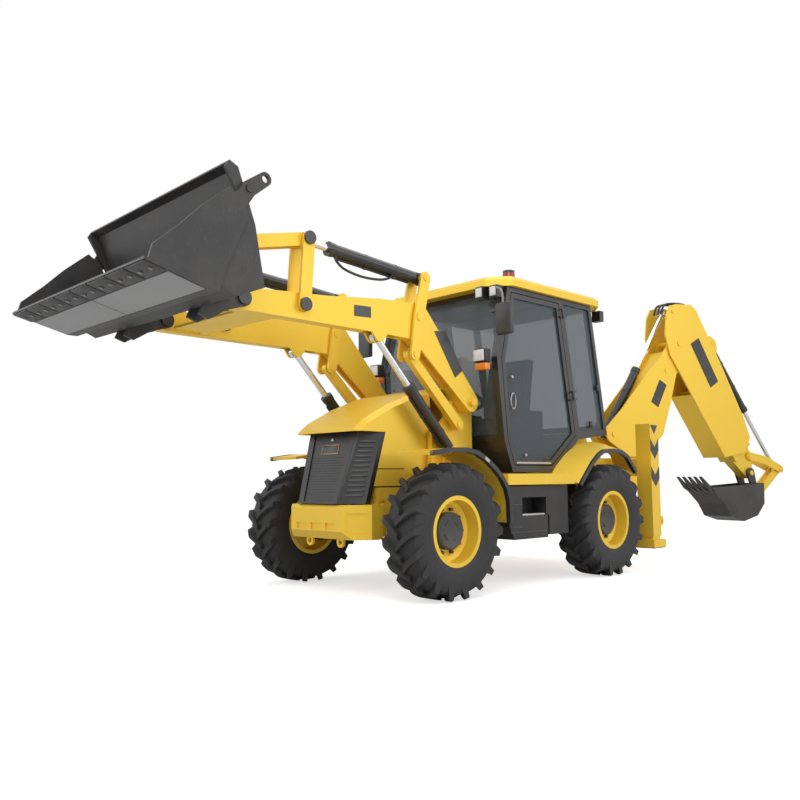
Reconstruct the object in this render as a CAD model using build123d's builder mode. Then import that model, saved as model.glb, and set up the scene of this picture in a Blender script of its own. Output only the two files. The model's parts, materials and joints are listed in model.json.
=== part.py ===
"""Compact backhoe loader with four equal wheels, a clamshell loading shovel, a cab,
a side-shifting backhoe with an extending dipper, and two vertical stabilisers.

Frame: +Z up, the machine's front towards -Y, its left side towards +X, and the origin on the
ground under the middle of the outline. Lengths are in millimetres.
Side-view places are pairs (y, z): y is counted rearwards from the front axle, z from the ground.
Backhoe places are pairs (s, z) in the upright plane of the arm: s is counted outwards from the
slewing axis.
"""

import os
from math import asin, cos, degrees, hypot, radians, sin

from build123d import *

# ---------------------------------------------------------------- driving sizes
FRONT_AXLE_Y = -1660
WHEELBASE = 2022
REAR_AXLE_Y = FRONT_AXLE_Y + WHEELBASE
TRACK = 1640
GAP = 6                      # running gap between moving pieces
PIN_FIT = 0.1                # radial play of a pin in its bore
SLIDE_FIT = 0.6              # radial play of a rod in its gland
RUN_FIT = 0.6                # play of a sliding face

TYRE_RADIUS = 482.5
TYRE_WIDTH = 310
TREAD_DEPTH = 32
TYRE_SIDES = 18              # flats round a tyre
LUG_COUNT = 18               # lugs on each half of a tread
LUG_WIDTH = 40
LUG_LEAN = 38                # lean of a lug from the tyre's axle
TYRE_FIT = 0.2               # play between a tyre's flats and its rim
BEAD_RADIUS = 232
RIM_FLANGE_RADIUS = 262
RIM_WIDTH = 262
RIM_WALL = 12
DISC_OFFSET = -5
DISC_THICKNESS = 14
HUB_RADIUS = 130
HUB_HEIGHT = 60
AXLE_TUBE_RADIUS = 72
DIFFERENTIAL_RADIUS = 96
KINGPIN_X = 640
KINGPIN_RADIUS = 24
YOKE_THICKNESS = 28
YOKE_HALF_GAP = 98
KNUCKLE_RADIUS = 84
SPINDLE_RADIUS = 45

RAIL_X = 300
RAIL_WIDTH = 60
RAIL_BOTTOM = 580
RAIL_TOP = 790
RAIL_FRONT = -240

ARM_X = 490                  # middle of a loader arm
ARM_WIDTH = 100
ARM_WALL = 18
LEVER_WALL = 20
LEVER_CLEAR = 8
PIN_RADIUS = 30
PIN_HEAD_RADIUS = 46         # heads on the outer ends of the loader's turning pins
PIN_HEAD = 14
RAM_EYE_WIDTH = 44
LIFT_BARREL_RADIUS = 45
LIFT_ROD_RADIUS = 25
CROWD_BARREL_RADIUS = 47
CROWD_ROD_RADIUS = 25
RAM_EYE_RADIUS = 46

ARM_PIVOT = (639, 1461)
LINK_PIVOT = (521, 1275)
ARM_KNEE = (35, 2035)
ARM_MIDDLE = (-350, 2030)
ARM_FRONT = (-830, 2006)
SHOVEL_PIN = (-1525, 1986)
REAR_LEVER_TOP = (102, 2381)
REAR_LEVER_PIN = (28, 2068)
REAR_LEVER_BOTTOM = (-15, 1780)
FRONT_LEVER_TOP = (-1014, 2468)
FRONT_LEVER_PIN = (-1046, 2009)
LINK_PIN_ON_SHOVEL = (-1600, 2330)
LIFT_EYE = (-351, 1885)
LIFT_FOOT = (445, 1054)
LIFT_GLAND = 680             # gland's distance from the barrel's pin
CROWD_GLAND = 905
LIFT_ROD_INSIDE = 200        # rod length hidden in the barrel at rest
CROWD_ROD_INSIDE = 400

SHOVEL_HALF_WIDTH = 958
SHOVEL_SHEET = 16
JAW_PIVOT = (-1750, 2520)
JAW_TAIL = (-1640, 2605)

CAB_HALF_WIDTH = 700
CAB_WALL = 52
CAB_FLOOR = 900
EYE_BORE_RADIUS = 18         # lashing eyes
EYE_RADIUS = 38
EYE_THICKNESS = 20
DOOR_THICKNESS = 36
DOOR_GAP = 7
DOOR_FRAME = 42
GLASS = 6

POST_INNER_X = 800
POST_SIDE = 150
POST_FRONT = WHEELBASE + 678
RAIL_REAR = POST_FRONT + 20  # rear ends of the chassis rails
RAIL_FACE = POST_FRONT + 200  # rear faces of the carriage's rails
POST_TOP = 1350
POST_BOTTOM = 300
POST_WALL = 10
LEG_CLEAR = 0.6
FOOT_HEIGHT = 200

SHIFT_X = 250                # carriage's place along its slide
SLEW_Y = RAIL_FACE + 240
SLEW_ANGLE = 15              # the arm's turn from straight back towards the left side
BOOM_HALF = 128
BOOM_WALL = 16
FOOT_PIN = (300, 1180)
BOOM_PIN = (919, 2301)
DIPPER_EAR = (833, 2643)
DIPPER_RAM_BASE = (-61, 1289)
BOOM_RAM_PIN = (725, 1988)
BOOM_RAM_BASE = (380, 940)
BUCKET_PIN = (2056, 886)
LEVER_PIVOT = (2057, 1081)
LEVER_OUTER = (2593, 930)
BUCKET_LINK_PIN = (2215, 640)
BUCKET_RAM_BASE = (1540, 2350)
DIG_BUCKET_HALF = 185
DIPPER_HALF = 150
DIPPER_WALL = 16
NOSE_HALF = 60
DIPPER_GLAND = 853
BUCKET_GLAND = 930
BOOM_GLAND = 640
HOE_BARREL_RADIUS = 43
HOE_ROD_RADIUS = 24


# ---------------------------------------------------------------- helpers
def at(place):
    """Row-frame (y, z) of a side-view place."""
    return (FRONT_AXLE_Y + place[0], place[1])


def side(places):
    """Row-frame outline of side-view places."""
    return [at(place) for place in places]


def beam_side(stations):
    """Row-frame stations (y, z, radius) of side-view stations."""
    return [(*at((y, z)), radius) for y, z, radius in stations]


def polygon(plane, points, corner=0):
    """Closed face through points on a plane, its corners rounded by corner."""
    with BuildSketch(plane) as face:
        with BuildLine():
            Polyline(*points, close=True)
        make_face()
        if corner:
            fillet(face.vertices(), corner)
    return face.sketch


def band(plane, stations):
    """Face of a beam whose half-depth runs from circle to circle along stations (u, v, radius)."""
    with BuildSketch(plane) as face:
        for first, second in zip(stations, stations[1:]):
            with BuildSketch(mode=Mode.PRIVATE) as link:
                for u, v, radius in (first, second):
                    with Locations((u, v)):
                        Circle(radius)
                make_hull()
            add(link.sketch)
    return face.sketch


def ribbon(path, thickness):
    """Outline of a bent sheet: a path of (u, v) points thickened to its left with mitred corners."""
    points = [Vector(u, v) for u, v in path]
    runs = [(b - a).normalized() for a, b in zip(points, points[1:])]
    normals = [Vector(-run.Y, run.X) for run in runs]
    inner = []
    for index, point in enumerate(points):
        before = normals[max(index - 1, 0)]
        after = normals[min(index, len(normals) - 1)]
        inner.append(point + (before + after) * (thickness / (1 + before.dot(after))))
    return [(p.X, p.Y) for p in points + inner[::-1]]


def plate(plane, points, low, high, mode=Mode.ADD, corner=0):
    """Flat plate with a polygon outline, from low to high along the plane's normal."""
    extrude(polygon(plane.offset(low), points, corner), amount=high - low, mode=mode)


def beam(plane, stations, low, high, mode=Mode.ADD):
    """Plate with a round-ended outline, from low to high along the plane's normal."""
    extrude(band(plane.offset(low), stations), amount=high - low, mode=mode)


def pin(plane, centre, radius, low, high, mode=Mode.ADD):
    """Round pin, or with Mode.SUBTRACT a bore, square to a plane."""
    with BuildSketch(plane.offset(low)) as face:
        with Locations(centre):
            Circle(radius)
    extrude(face.sketch, amount=high - low, mode=mode)


def rod(plane, start, end, radius, mode=Mode.ADD, depth=0):
    """Round bar between two places at one depth from a plane."""
    first = plane.from_local_coords((*start, depth))
    axis = plane.from_local_coords((*end, depth)) - first
    with BuildSketch(Plane(origin=first, z_dir=axis)) as face:
        Circle(radius)
    extrude(face.sketch, amount=axis.length, mode=mode)


def block(x_range, y_range, z_range, mode=Mode.ADD):
    """Box between limits, with y in row-frame terms."""
    with BuildSketch(Plane.XY.offset(z_range[0])) as face:
        with Locations((sum(x_range) / 2, sum(y_range) / 2)):
            Rectangle(x_range[1] - x_range[0], y_range[1] - y_range[0])
    extrude(face.sketch, amount=z_range[1] - z_range[0], mode=mode)


def side_block(x_range, y_range, z_range, mode=Mode.ADD):
    """Box between limits, with y counted from the front axle."""
    block(x_range, (FRONT_AXLE_Y + y_range[0], FRONT_AXLE_Y + y_range[1]), z_range, mode)


def along(start, end, distance):
    """Place at a distance from start towards end."""
    length = hypot(end[0] - start[0], end[1] - start[1])
    return tuple(a + (b - a) * distance / length for a, b in zip(start, end))


def ram_barrel(plane, base, tip, gland, radius, rod_radius, pin_radius):
    """Ram barrel: an eye at base, a tube towards tip with its gland at the given distance."""
    eye_half = RAM_EYE_WIDTH / 2
    rod(plane, base, along(base, tip, gland - 30), radius)
    rod(plane, along(base, tip, gland - 36), along(base, tip, gland), radius + 5)
    pin(plane, base, RAM_EYE_RADIUS, -eye_half, eye_half)
    trim = radius + 10
    for low, high in ((eye_half, trim), (-trim, -eye_half)):
        pin(plane, base, RAM_EYE_RADIUS + 26, low, high, Mode.SUBTRACT)
    rod(plane, along(base, tip, RAM_EYE_RADIUS + 8), along(base, tip, gland + 1),
        rod_radius + SLIDE_FIT, Mode.SUBTRACT)
    pin(plane, base, pin_radius + PIN_FIT, -trim, trim, Mode.SUBTRACT)


def ram_rod(plane, base, tip, gland, inside, rod_radius, pin_radius):
    """Ram rod: a round bar from inside the barrel to an eye at tip."""
    eye_half = RAM_EYE_WIDTH / 2
    rod(plane, along(base, tip, gland - inside), tip, rod_radius)
    pin(plane, tip, RAM_EYE_RADIUS, -eye_half, eye_half)
    pin(plane, tip, pin_radius + PIN_FIT, -RAM_EYE_RADIUS, RAM_EYE_RADIUS, Mode.SUBTRACT)


def lashing_eye(plane, place, root):
    """Eye plate on a plane with its bore at a place, reaching to the root that carries it."""
    beam(plane, [(*place, EYE_RADIUS), (*root, EYE_RADIUS)], -EYE_THICKNESS / 2, EYE_THICKNESS / 2)
    pin(plane, place, EYE_BORE_RADIUS, -EYE_THICKNESS, EYE_THICKNESS, Mode.SUBTRACT)


def save(builder, name):
    """Label a finished sub-part and write its STEP file."""
    builder.part.label = name
    export_step(builder.part, f"parts/{name}.step")


os.makedirs("parts", exist_ok=True)
SIDE = Plane.YZ
ARM_PLANE = Plane.YZ.offset(ARM_X)

# ---------------------------------------------------------------- wheels
half_tyre = TYRE_WIDTH / 2
half_rim = RIM_WIDTH / 2
carcass_radius = TYRE_RADIUS - TREAD_DEPTH
sidewall_radius = (RIM_FLANGE_RADIUS + TYRE_RADIUS) / 2
bead_x = half_rim - RIM_WALL
# Outside of a tyre's carcass: place across the tyre, distance from its axle to the flats.
CARCASS = [
    (-half_tyre, sidewall_radius),
    (-half_tyre + 13, carcass_radius),
    (half_tyre - 13, carcass_radius),
    (half_tyre, sidewall_radius),
]


def flats_loft(rings, mode=Mode.ADD):
    """Many-sided body round the X axis through rings (x, distance of the flats)."""
    for first, second in zip(rings, rings[1:]):
        with BuildPart(mode=Mode.PRIVATE) as run:
            for x, radius in (first, second):
                with BuildSketch(Plane.YZ.offset(x)):
                    RegularPolygon(radius, TYRE_SIDES, major_radius=False)
            loft(ruled=True)
        add(run.part, mode=mode)


lean = radians(LUG_LEAN)
lug_end = (half_tyre - 2 - LUG_WIDTH / 2 * sin(lean)) / cos(lean)
lug_reach = (lug_end / 2 + 8) * sin(lean) + LUG_WIDTH / 2 * cos(lean)
lug_turn = 90 / LUG_COUNT                       # half the angle between neighbouring lug corners
corner_radius = TYRE_RADIUS / cos(radians(lug_turn))
lug_top = (corner_radius ** 2 - lug_reach ** 2) ** 0.5
# Sets the tyre down on one corner of each half's tread, one each side of the axle.
lug_phase = degrees(asin(lug_reach / corner_radius)) + lug_turn
# Outline of a lug along its own run: distance from the tread's middle, distance from the axle.
LUG_SIDE = [(-8, carcass_radius - 20), (lug_end, carcass_radius - 60), (lug_end, carcass_radius + 4),
            (lug_end - 34, lug_top), (-8, lug_top)]
lug_middle = (0, -lug_end / 2 * sin(lean), 0)
lug_plane = Plane(origin=lug_middle, x_dir=(cos(lean), sin(lean), 0), z_dir=(sin(lean), -cos(lean), 0))
with BuildPart() as tread_lug:
    plate(lug_plane, LUG_SIDE, -LUG_WIDTH / 2, LUG_WIDTH / 2)

with BuildPart() as tyre_form:
    flats_loft(CARCASS)
    flats_loft([(-bead_x, BEAD_RADIUS + TYRE_FIT), (bead_x, BEAD_RADIUS + TYRE_FIT)], Mode.SUBTRACT)
    for hand in (-1, 1):
        flats_loft([(hand * bead_x, RIM_FLANGE_RADIUS + 4), (hand * (half_tyre + 1), sidewall_radius)],
                   Mode.SUBTRACT)
    for index in range(LUG_COUNT):
        step = 360 / LUG_COUNT
        add(tread_lug.part, rotation=(index * step - lug_phase, 0, 0))
        add(mirror(tread_lug.part, about=Plane.YZ, mode=Mode.PRIVATE),
            rotation=((index + 0.5) * step - lug_phase, 0, 0))

hub_face = DISC_OFFSET + DISC_THICKNESS
rim_section = [
    (-half_rim, RIM_FLANGE_RADIUS),
    (-half_rim + RIM_WALL, RIM_FLANGE_RADIUS),
    (-half_rim + RIM_WALL, BEAD_RADIUS),
    (half_rim - RIM_WALL, BEAD_RADIUS),
    (half_rim - RIM_WALL, RIM_FLANGE_RADIUS),
    (half_rim, RIM_FLANGE_RADIUS),
    (half_rim, BEAD_RADIUS - RIM_WALL),
    (hub_face + 20, BEAD_RADIUS - RIM_WALL - 6),
    (hub_face, HUB_RADIUS + 45),
    (hub_face, HUB_RADIUS),
    (hub_face + HUB_HEIGHT - 10, HUB_RADIUS),
    (hub_face + HUB_HEIGHT, HUB_RADIUS - 12),
    (hub_face + HUB_HEIGHT, 0),
    (DISC_OFFSET, 0),
    (DISC_OFFSET, BEAD_RADIUS - RIM_WALL - 4),
    (-half_rim, BEAD_RADIUS - RIM_WALL),
]
with BuildPart() as rim_form:
    with BuildSketch(Plane.XZ) as section:
        with BuildLine():
            Polyline(*rim_section, close=True)
        make_face()
    revolve(axis=Axis.X)
    pin(SIDE, (0, 0), SPINDLE_RADIUS + PIN_FIT, DISC_OFFSET - 1, hub_face + 20, Mode.SUBTRACT)

# Wheel corners: name, side (+1 left, -1 right), axle position.
CORNERS = [
    ("front_left", 1, FRONT_AXLE_Y),
    ("front_right", -1, FRONT_AXLE_Y),
    ("rear_left", 1, REAR_AXLE_Y),
    ("rear_right", -1, REAR_AXLE_Y),
]
yoke_top = YOKE_HALF_GAP + YOKE_THICKNESS
for corner, hand, axle_y in CORNERS:
    turn = 0 if hand > 0 else 180
    with BuildPart() as tyre:
        with Locations((hand * TRACK / 2, axle_y, TYRE_RADIUS)):
            add(tyre_form.part)
    save(tyre, f"tyre_{corner}")
    with BuildPart() as rim:
        with Locations((hand * TRACK / 2, axle_y, TYRE_RADIUS)):
            add(rim_form.part, rotation=(0, 0, turn))
    save(rim, f"rim_{corner}")
    with BuildPart() as knuckle:
        hub_plane = Plane(origin=(hand * KINGPIN_X, axle_y, TYRE_RADIUS),
                          x_dir=(0, 1, 0), z_dir=(hand, 0, 0))
        spindle_start = TRACK / 2 - KINGPIN_X
        pin(hub_plane, (0, 0), KNUCKLE_RADIUS, -40, spindle_start + DISC_OFFSET - GAP)
        pin(hub_plane, (0, 0), SPINDLE_RADIUS, 0, spindle_start + hub_face + 14)
        with BuildSketch(Plane.XY.offset(TYRE_RADIUS - YOKE_HALF_GAP + 1)) as barrel:
            with Locations((hand * KINGPIN_X, axle_y)):
                Circle(52)
        extrude(barrel.sketch, amount=2 * YOKE_HALF_GAP - 2)
        with BuildSketch(Plane.XY.offset(TYRE_RADIUS - yoke_top)) as kingpin:
            with Locations((hand * KINGPIN_X, axle_y)):
                Circle(KINGPIN_RADIUS)
        extrude(kingpin.sketch, amount=2 * yoke_top)
    save(knuckle, f"knuckle_{corner}")

# ---------------------------------------------------------------- axles
with BuildPart() as axle_beams:
    for axle_y in (FRONT_AXLE_Y, REAR_AXLE_Y):
        for hand in (-1, 1):
            out = Plane(origin=(0, axle_y, TYRE_RADIUS), x_dir=(0, 1, 0), z_dir=(hand, 0, 0))
            pin(out, (0, 0), AXLE_TUBE_RADIUS, 0, 545)
            for z in (TYRE_RADIUS - yoke_top, TYRE_RADIUS + YOKE_HALF_GAP):
                block((min(hand * 520, hand * 690), max(hand * 520, hand * 690)),
                      (axle_y - 58, axle_y + 58), (z, z + YOKE_THICKNESS))
            block((min(hand * 505, hand * 545), max(hand * 505, hand * 545)),
                  (axle_y - 58, axle_y + 58), (TYRE_RADIUS - yoke_top, TYRE_RADIUS + yoke_top))
            with BuildSketch(Plane.XY.offset(TYRE_RADIUS - yoke_top - 1)) as bore:
                with Locations((hand * KINGPIN_X, axle_y)):
                    Circle(KINGPIN_RADIUS + PIN_FIT)
            extrude(bore.sketch, amount=2 * yoke_top + 2, mode=Mode.SUBTRACT)
        with Locations((0, axle_y, TYRE_RADIUS)):
            Sphere(DIFFERENTIAL_RADIUS)
        block((-240, 240), (axle_y - 55, axle_y + 55), (TYRE_RADIUS + 30, RAIL_BOTTOM))
save(axle_beams, "axle_beams")

# ---------------------------------------------------------------- chassis with loader towers
tower_inner = 385
tower_outer = ARM_X - ARM_WIDTH / 2 - LEVER_CLEAR
shelf_bottom = LIFT_FOOT[1] - 149
shelf_top = LIFT_FOOT[1] - 94
TOWER_OUTLINE = [(270, 600), (760, 600), (760, 1400), (700, 1530), (580, 1530), (450, 1330),
                 (290, 1200)]
REAR_BODY = [(1440, RAIL_TOP), (POST_FRONT - 10, RAIL_TOP), (POST_FRONT - 10, 1000), (2400, 1150),
             (2365, 1240), (1900, 1190), (1520, CAB_FLOOR), (1440, CAB_FLOOR)]
SKIRT = [(RAIL_FRONT, 430), (-100, 430), (-100, 565), (100, 565), (100, 430), (560, 430),
         (560, RAIL_TOP), (RAIL_FRONT, RAIL_TOP)]
SKIRT_HOLE = [(-205, 690), (-150, 690), (-205, 630)]
SKIRT_THICKNESS = 12
REAR_BODY_HALF = 470
BONNET_HINGE = (690, 1572)
BONNET_PIN_RADIUS = 10
BULKHEAD = (690, 716)
with BuildPart() as chassis:
    for hand in (-1, 1):
        inner, outer = sorted((hand * RAIL_X, hand * (RAIL_X + RAIL_WIDTH)))
        side_block((inner, outer), (RAIL_FRONT, RAIL_REAR), (RAIL_BOTTOM, RAIL_TOP))
    for y0, y1 in ((RAIL_FRONT, RAIL_FRONT + 60), (-110, 110), (400, 520), (640, 740),
                   (WHEELBASE - 110, WHEELBASE + 110), (RAIL_REAR - 120, RAIL_REAR)):
        side_block((-RAIL_X, RAIL_X), (y0, y1), (RAIL_BOTTOM, RAIL_BOTTOM + 60))
    plate(SIDE, side(REAR_BODY), -REAR_BODY_HALF, REAR_BODY_HALF)
    for hand in (-1, 1):
        inner, outer = sorted((hand * RAIL_X, hand * (RAIL_X + RAIL_WIDTH)))
        side_block((inner, outer), (960, 1040), (RAIL_TOP, CAB_FLOOR))
        skirt_low = RAIL_X + RAIL_WIDTH - 2
        low, high = sorted((hand * skirt_low, hand * (skirt_low + SKIRT_THICKNESS)))
        plate(SIDE, side(SKIRT), low, high)
        plate(SIDE, side(SKIRT_HOLE), low - 4, high + 4, Mode.SUBTRACT)
        low, high = sorted((hand * tower_inner, hand * tower_outer))
        plate(SIDE, side(TOWER_OUTLINE), low, high)
        foot_low, foot_high = sorted((hand * (RAIL_X + RAIL_WIDTH), hand * tower_inner))
        side_block((foot_low, foot_high), (270, 760), (610, 770))
        shelf_low, shelf_high = sorted((hand * tower_outer, hand * (ARM_X + ARM_WIDTH / 2)))
        side_block((shelf_low, shelf_high), (290, 760), (shelf_bottom, shelf_top))
        for centre in (ARM_X - 37, ARM_X + 37):
            ear_low, ear_high = sorted((hand * (centre - 10), hand * (centre + 10)))
            beam(SIDE, beam_side([(*LIFT_FOOT, 52), (LIFT_FOOT[0], shelf_top - 2, 52)]),
                 ear_low, ear_high)
        side_block((shelf_low, shelf_high), (290, 560), (shelf_bottom - 60, shelf_bottom),
                   Mode.SUBTRACT)
        pins = [(LIFT_FOOT, 26, ARM_X - 48, ARM_X + 48), (ARM_PIVOT, 34, tower_inner, 572),
                (LINK_PIVOT, PIN_RADIUS, tower_inner, ARM_X + 36)]
        for place, radius, start, end in pins:
            pin_low, pin_high = sorted((hand * start, hand * end))
            pin(SIDE, at(place), radius, pin_low, pin_high)
    side_block((-tower_inner, tower_inner), BULKHEAD, (RAIL_TOP, 1535))
    for hand in (-1, 1):
        ear_low, ear_high = sorted((hand * 225, hand * 241))
        beam(SIDE, beam_side([(*BONNET_HINGE, 20), (702, 1500, 30)]), ear_low, ear_high)
        pin_low, pin_high = sorted((hand * 170, hand * 250))
        pin(SIDE, at(BONNET_HINGE), BONNET_PIN_RADIUS, pin_low, pin_high)
save(chassis, "chassis")

# ---------------------------------------------------------------- nose
BUMPER_PLAN = [(-300, -515), (300, -515), (440, -350), (440, RAIL_FRONT), (-440, RAIL_FRONT),
               (-440, -350)]
BUMPER_POCKETS = [-170, 0, 170]      # middles of the pockets low in the bumper's front
with BuildPart() as front_bumper:
    with BuildSketch(Plane.XY.offset(417)) as plan:
        with BuildLine():
            Polyline(*[(x, FRONT_AXLE_Y + y) for x, y in BUMPER_PLAN], close=True)
        make_face()
    extrude(amount=250)
    chamfer(front_bumper.edges().group_by(Axis.Z)[0].filter_by(Axis.X).sort_by(Axis.Y)[0], 60)
    chamfer(front_bumper.edges().group_by(Axis.Z)[-1].filter_by(Axis.X).sort_by(Axis.Y)[0], 24)
    for middle in BUMPER_POCKETS:
        side_block((middle - 62, middle + 62), (-516, -503), (488, 535), Mode.SUBTRACT)
    for hand in (-1, 1):
        flank = Plane(origin=(hand * 370, FRONT_AXLE_Y - 432.5, 417), x_dir=(hand * 140, 165, 0),
                      z_dir=(hand * 165, -140, 0))
        plate(flank, [(-78, 50), (78, 50), (78, 190), (-78, 190)], -10, 5, Mode.SUBTRACT)
        lashing_eye(Plane.XZ.offset(-FRONT_AXLE_Y + 420), (hand * 180, 393), (hand * 180, 460))
save(front_bumper, "front_bumper")

BONNET_HALF = 372
GRILLE_BOTTOM = 673
GRILLE_TOP = 1202.7
GRILLE_LEAN = 160            # how far the top of the grille stands behind its bottom
GRILLE_FRONT = -505          # front face at the bottom
GRILLE_REAR = -308           # rear face at the bottom
with BuildPart() as grille:
    for z, shift, half in ((GRILLE_BOTTOM, 0, 222), (GRILLE_TOP, GRILLE_LEAN, 277)):
        with BuildSketch(Plane.XY.offset(z)):
            with BuildLine():
                Polyline(*[(x, FRONT_AXLE_Y + y + shift) for x, y in (
                    (-half, GRILLE_FRONT), (half, GRILLE_FRONT), (BONNET_HALF, -350),
                    (BONNET_HALF, GRILLE_REAR), (-BONNET_HALF, GRILLE_REAR), (-BONNET_HALF, -350))],
                    close=True)
            make_face()
    loft(ruled=True)
    rise = Vector(0, GRILLE_LEAN, GRILLE_TOP - GRILLE_BOTTOM)
    face = Plane(origin=(0, *at((GRILLE_FRONT, GRILLE_BOTTOM))), x_dir=(1, 0, 0),
                 z_dir=(0, -rise.Z, rise.Y))
    top = rise.length - 14
    plate(face, [(-168, 16), (168, 16), (216, top), (-216, top)], -9, 2, Mode.SUBTRACT)
save(grille, "grille")

BONNET_WALL = 14
BONNET_SHOULDER = 46         # slope along each side of the bonnet's top
BONNET_TOP = [(-425, 1222), (-340, 1290), (-100, 1412), (180, 1517), (660, 1606)]


def seam(z):
    """Place of the bonnet's front seam, a fit behind the grille's rear face."""
    lean = GRILLE_LEAN * (z - GRILLE_BOTTOM) / (GRILLE_TOP - GRILLE_BOTTOM)
    return (GRILLE_REAR + lean + 0.3, z)


def bonnet_form(outline, half_width, corner):
    """Bonnet body with a sloped shoulder along each long edge of its top."""
    with BuildPart(mode=Mode.PRIVATE) as form:
        plate(SIDE, side(outline), -half_width, half_width)
        edges = [edge for edge in form.edges()
                 if abs(abs(edge.center().X) - half_width) < 1 and edge.center().Z > 1235
                 and edge.tangent_at(0.5).Y ** 2 > 0.2]
        chamfer(edges, corner, corner * 0.7)
    return form.part


with BuildPart() as bonnet:
    add(bonnet_form([(-425, 1203)] + BONNET_TOP + [(660, 800), seam(800), seam(1203)],
                    BONNET_HALF, BONNET_SHOULDER))
    inside = [(y + 10, z - 16) for y, z in BONNET_TOP[1:-1]]
    add(bonnet_form([(-400, 1190), (-400, 1214)] + inside + [(680, 1594), (680, 790), (-500, 790)],
                    BONNET_HALF - BONNET_WALL, BONNET_SHOULDER), mode=Mode.SUBTRACT)
    side_block((270, BONNET_HALF + 1), (330, 700), (790, 1700), Mode.SUBTRACT)
    for hand in (-1, 1):
        lug_low, lug_high = sorted((hand * 190, hand * 222))
        beam(SIDE, beam_side([(*BONNET_HINGE, 20), (645, 1584, 8)]), lug_low, lug_high)
        pin(SIDE, at(BONNET_HINGE), BONNET_PIN_RADIUS + PIN_FIT, lug_low - 1, lug_high + 1,
            Mode.SUBTRACT)
save(bonnet, "bonnet")

EXHAUST = (330, 470)
with BuildPart() as engine:
    side_block((-230, 230), (-140, 520), (RAIL_BOTTOM + 60, 1120))
    side_block((-190, 190), (-110, 420), (1120, 1290))
    stack = Plane.XY.offset(1000)
    with BuildSketch(stack) as pipe:
        with Locations((EXHAUST[0], FRONT_AXLE_Y + EXHAUST[1])):
            Circle(36)
    extrude(pipe.sketch, amount=1330)
    tip_start = (EXHAUST[0], FRONT_AXLE_Y + EXHAUST[1], 2320)
    with BuildSketch(Plane(origin=tip_start, z_dir=(0, 0.55, 1))) as tip:
        Circle(36)
    extrude(tip.sketch, amount=190)
    side_block((200, 350), (430, 510), (980, 1060))
save(engine, "engine_block")

# ---------------------------------------------------------------- loader arms and linkage
arm_low = -ARM_WIDTH / 2
arm_high = ARM_WIDTH / 2
lever_low = arm_high + LEVER_CLEAR
lever_high = lever_low + LEVER_WALL
ARM_STATIONS = [(*ARM_PIVOT, 78), (*ARM_KNEE, 142), (*ARM_MIDDLE, 125), (*ARM_FRONT, 98),
                (*SHOVEL_PIN, 72)]
ARM_RUN = (Vector(*ARM_KNEE) - Vector(*ARM_PIVOT)).normalized()


def under_arm(run, depth):
    """Place along the arm's rear run from its pivot, at a depth under the run."""
    return (ARM_PIVOT[0] + run * ARM_RUN.X - depth * ARM_RUN.Y,
            ARM_PIVOT[1] + run * ARM_RUN.Y + depth * ARM_RUN.X)


# Open undersides of the arm, where the lower link and the lift ram's eye swing in.
LINK_POCKET = [under_arm(240, 62), under_arm(690, 58), under_arm(690, 190), under_arm(240, 190)]
RAM_POCKET = [(-420, 1960), (-150, 1960), (-150, 1800), (-420, 1800)]
with BuildPart() as loader_arms:
    beam(ARM_PLANE, beam_side(ARM_STATIONS), arm_low, arm_high)
    beam(ARM_PLANE, beam_side([(*LIFT_EYE, 46), (-350, 2010, 125)]), arm_low, arm_high)
    beam(ARM_PLANE, beam_side([(y, z, r - ARM_WALL) for y, z, r in ARM_STATIONS[1:4]]),
         arm_low + ARM_WALL, arm_high - ARM_WALL, Mode.SUBTRACT)
    beam(ARM_PLANE, beam_side([(*LIFT_EYE, 130), (-350, 2000, 100)]),
         arm_low + ARM_WALL, arm_high - ARM_WALL, Mode.SUBTRACT)
    for pocket in (LINK_POCKET, RAM_POCKET):
        plate(ARM_PLANE, side(pocket), arm_low + ARM_WALL, arm_high - ARM_WALL, Mode.SUBTRACT)
    for place, radius in ((ARM_PIVOT, 34), (REAR_LEVER_PIN, PIN_RADIUS),
                          (FRONT_LEVER_PIN, PIN_RADIUS), (SHOVEL_PIN, PIN_RADIUS)):
        pin(ARM_PLANE, at(place), radius + PIN_FIT, arm_low - 1, arm_high + 1, Mode.SUBTRACT)
    mirror(about=Plane.YZ)
    tube_half = ARM_X + arm_low
    pin(SIDE, at((-1215, 1985)), 70, -tube_half, tube_half)
    side_block((-tube_half + 30, tube_half - 30), (-1470, -1215), (1928, 1944))
save(loader_arms, "loader_arms")


def lever_pair(top, middle, bottom):
    """Both side plates of a lever that straddles an arm."""
    stations = beam_side([(*top, 47), (*middle, 50), (*bottom, 45)])
    beam(ARM_PLANE, stations, lever_low, lever_high)
    beam(ARM_PLANE, stations, -lever_high, -lever_low)


with BuildPart() as rear_levers:
    lever_pair(REAR_LEVER_TOP, REAR_LEVER_PIN, REAR_LEVER_BOTTOM)
    pin(ARM_PLANE, at(REAR_LEVER_TOP), 26, -lever_high - 8, lever_high + 8)
    pin(ARM_PLANE, at(REAR_LEVER_PIN), PIN_RADIUS, -lever_high - 8, lever_high + 8)
    for low, high in ((lever_low - 2, lever_high + 8), (-lever_high - 8, -lever_low + 2)):
        pin(ARM_PLANE, at(REAR_LEVER_BOTTOM), 26, low, high)
    mirror(about=Plane.YZ)
save(rear_levers, "rear_levers")

LINK_HALF_DEPTH = 36
link_half = 26
with BuildPart() as lower_links:
    beam(ARM_PLANE, beam_side([(*LINK_PIVOT, 42), (*REAR_LEVER_BOTTOM, LINK_HALF_DEPTH)]),
         -link_half, link_half)
    pin(ARM_PLANE, at(LINK_PIVOT), PIN_RADIUS + PIN_FIT, -link_half - 1, link_half + 1, Mode.SUBTRACT)
    pin(ARM_PLANE, at(REAR_LEVER_BOTTOM), 20, -link_half - 1, link_half + 1, Mode.SUBTRACT)
    mirror(about=Plane.YZ)
save(lower_links, "lower_links")

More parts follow.
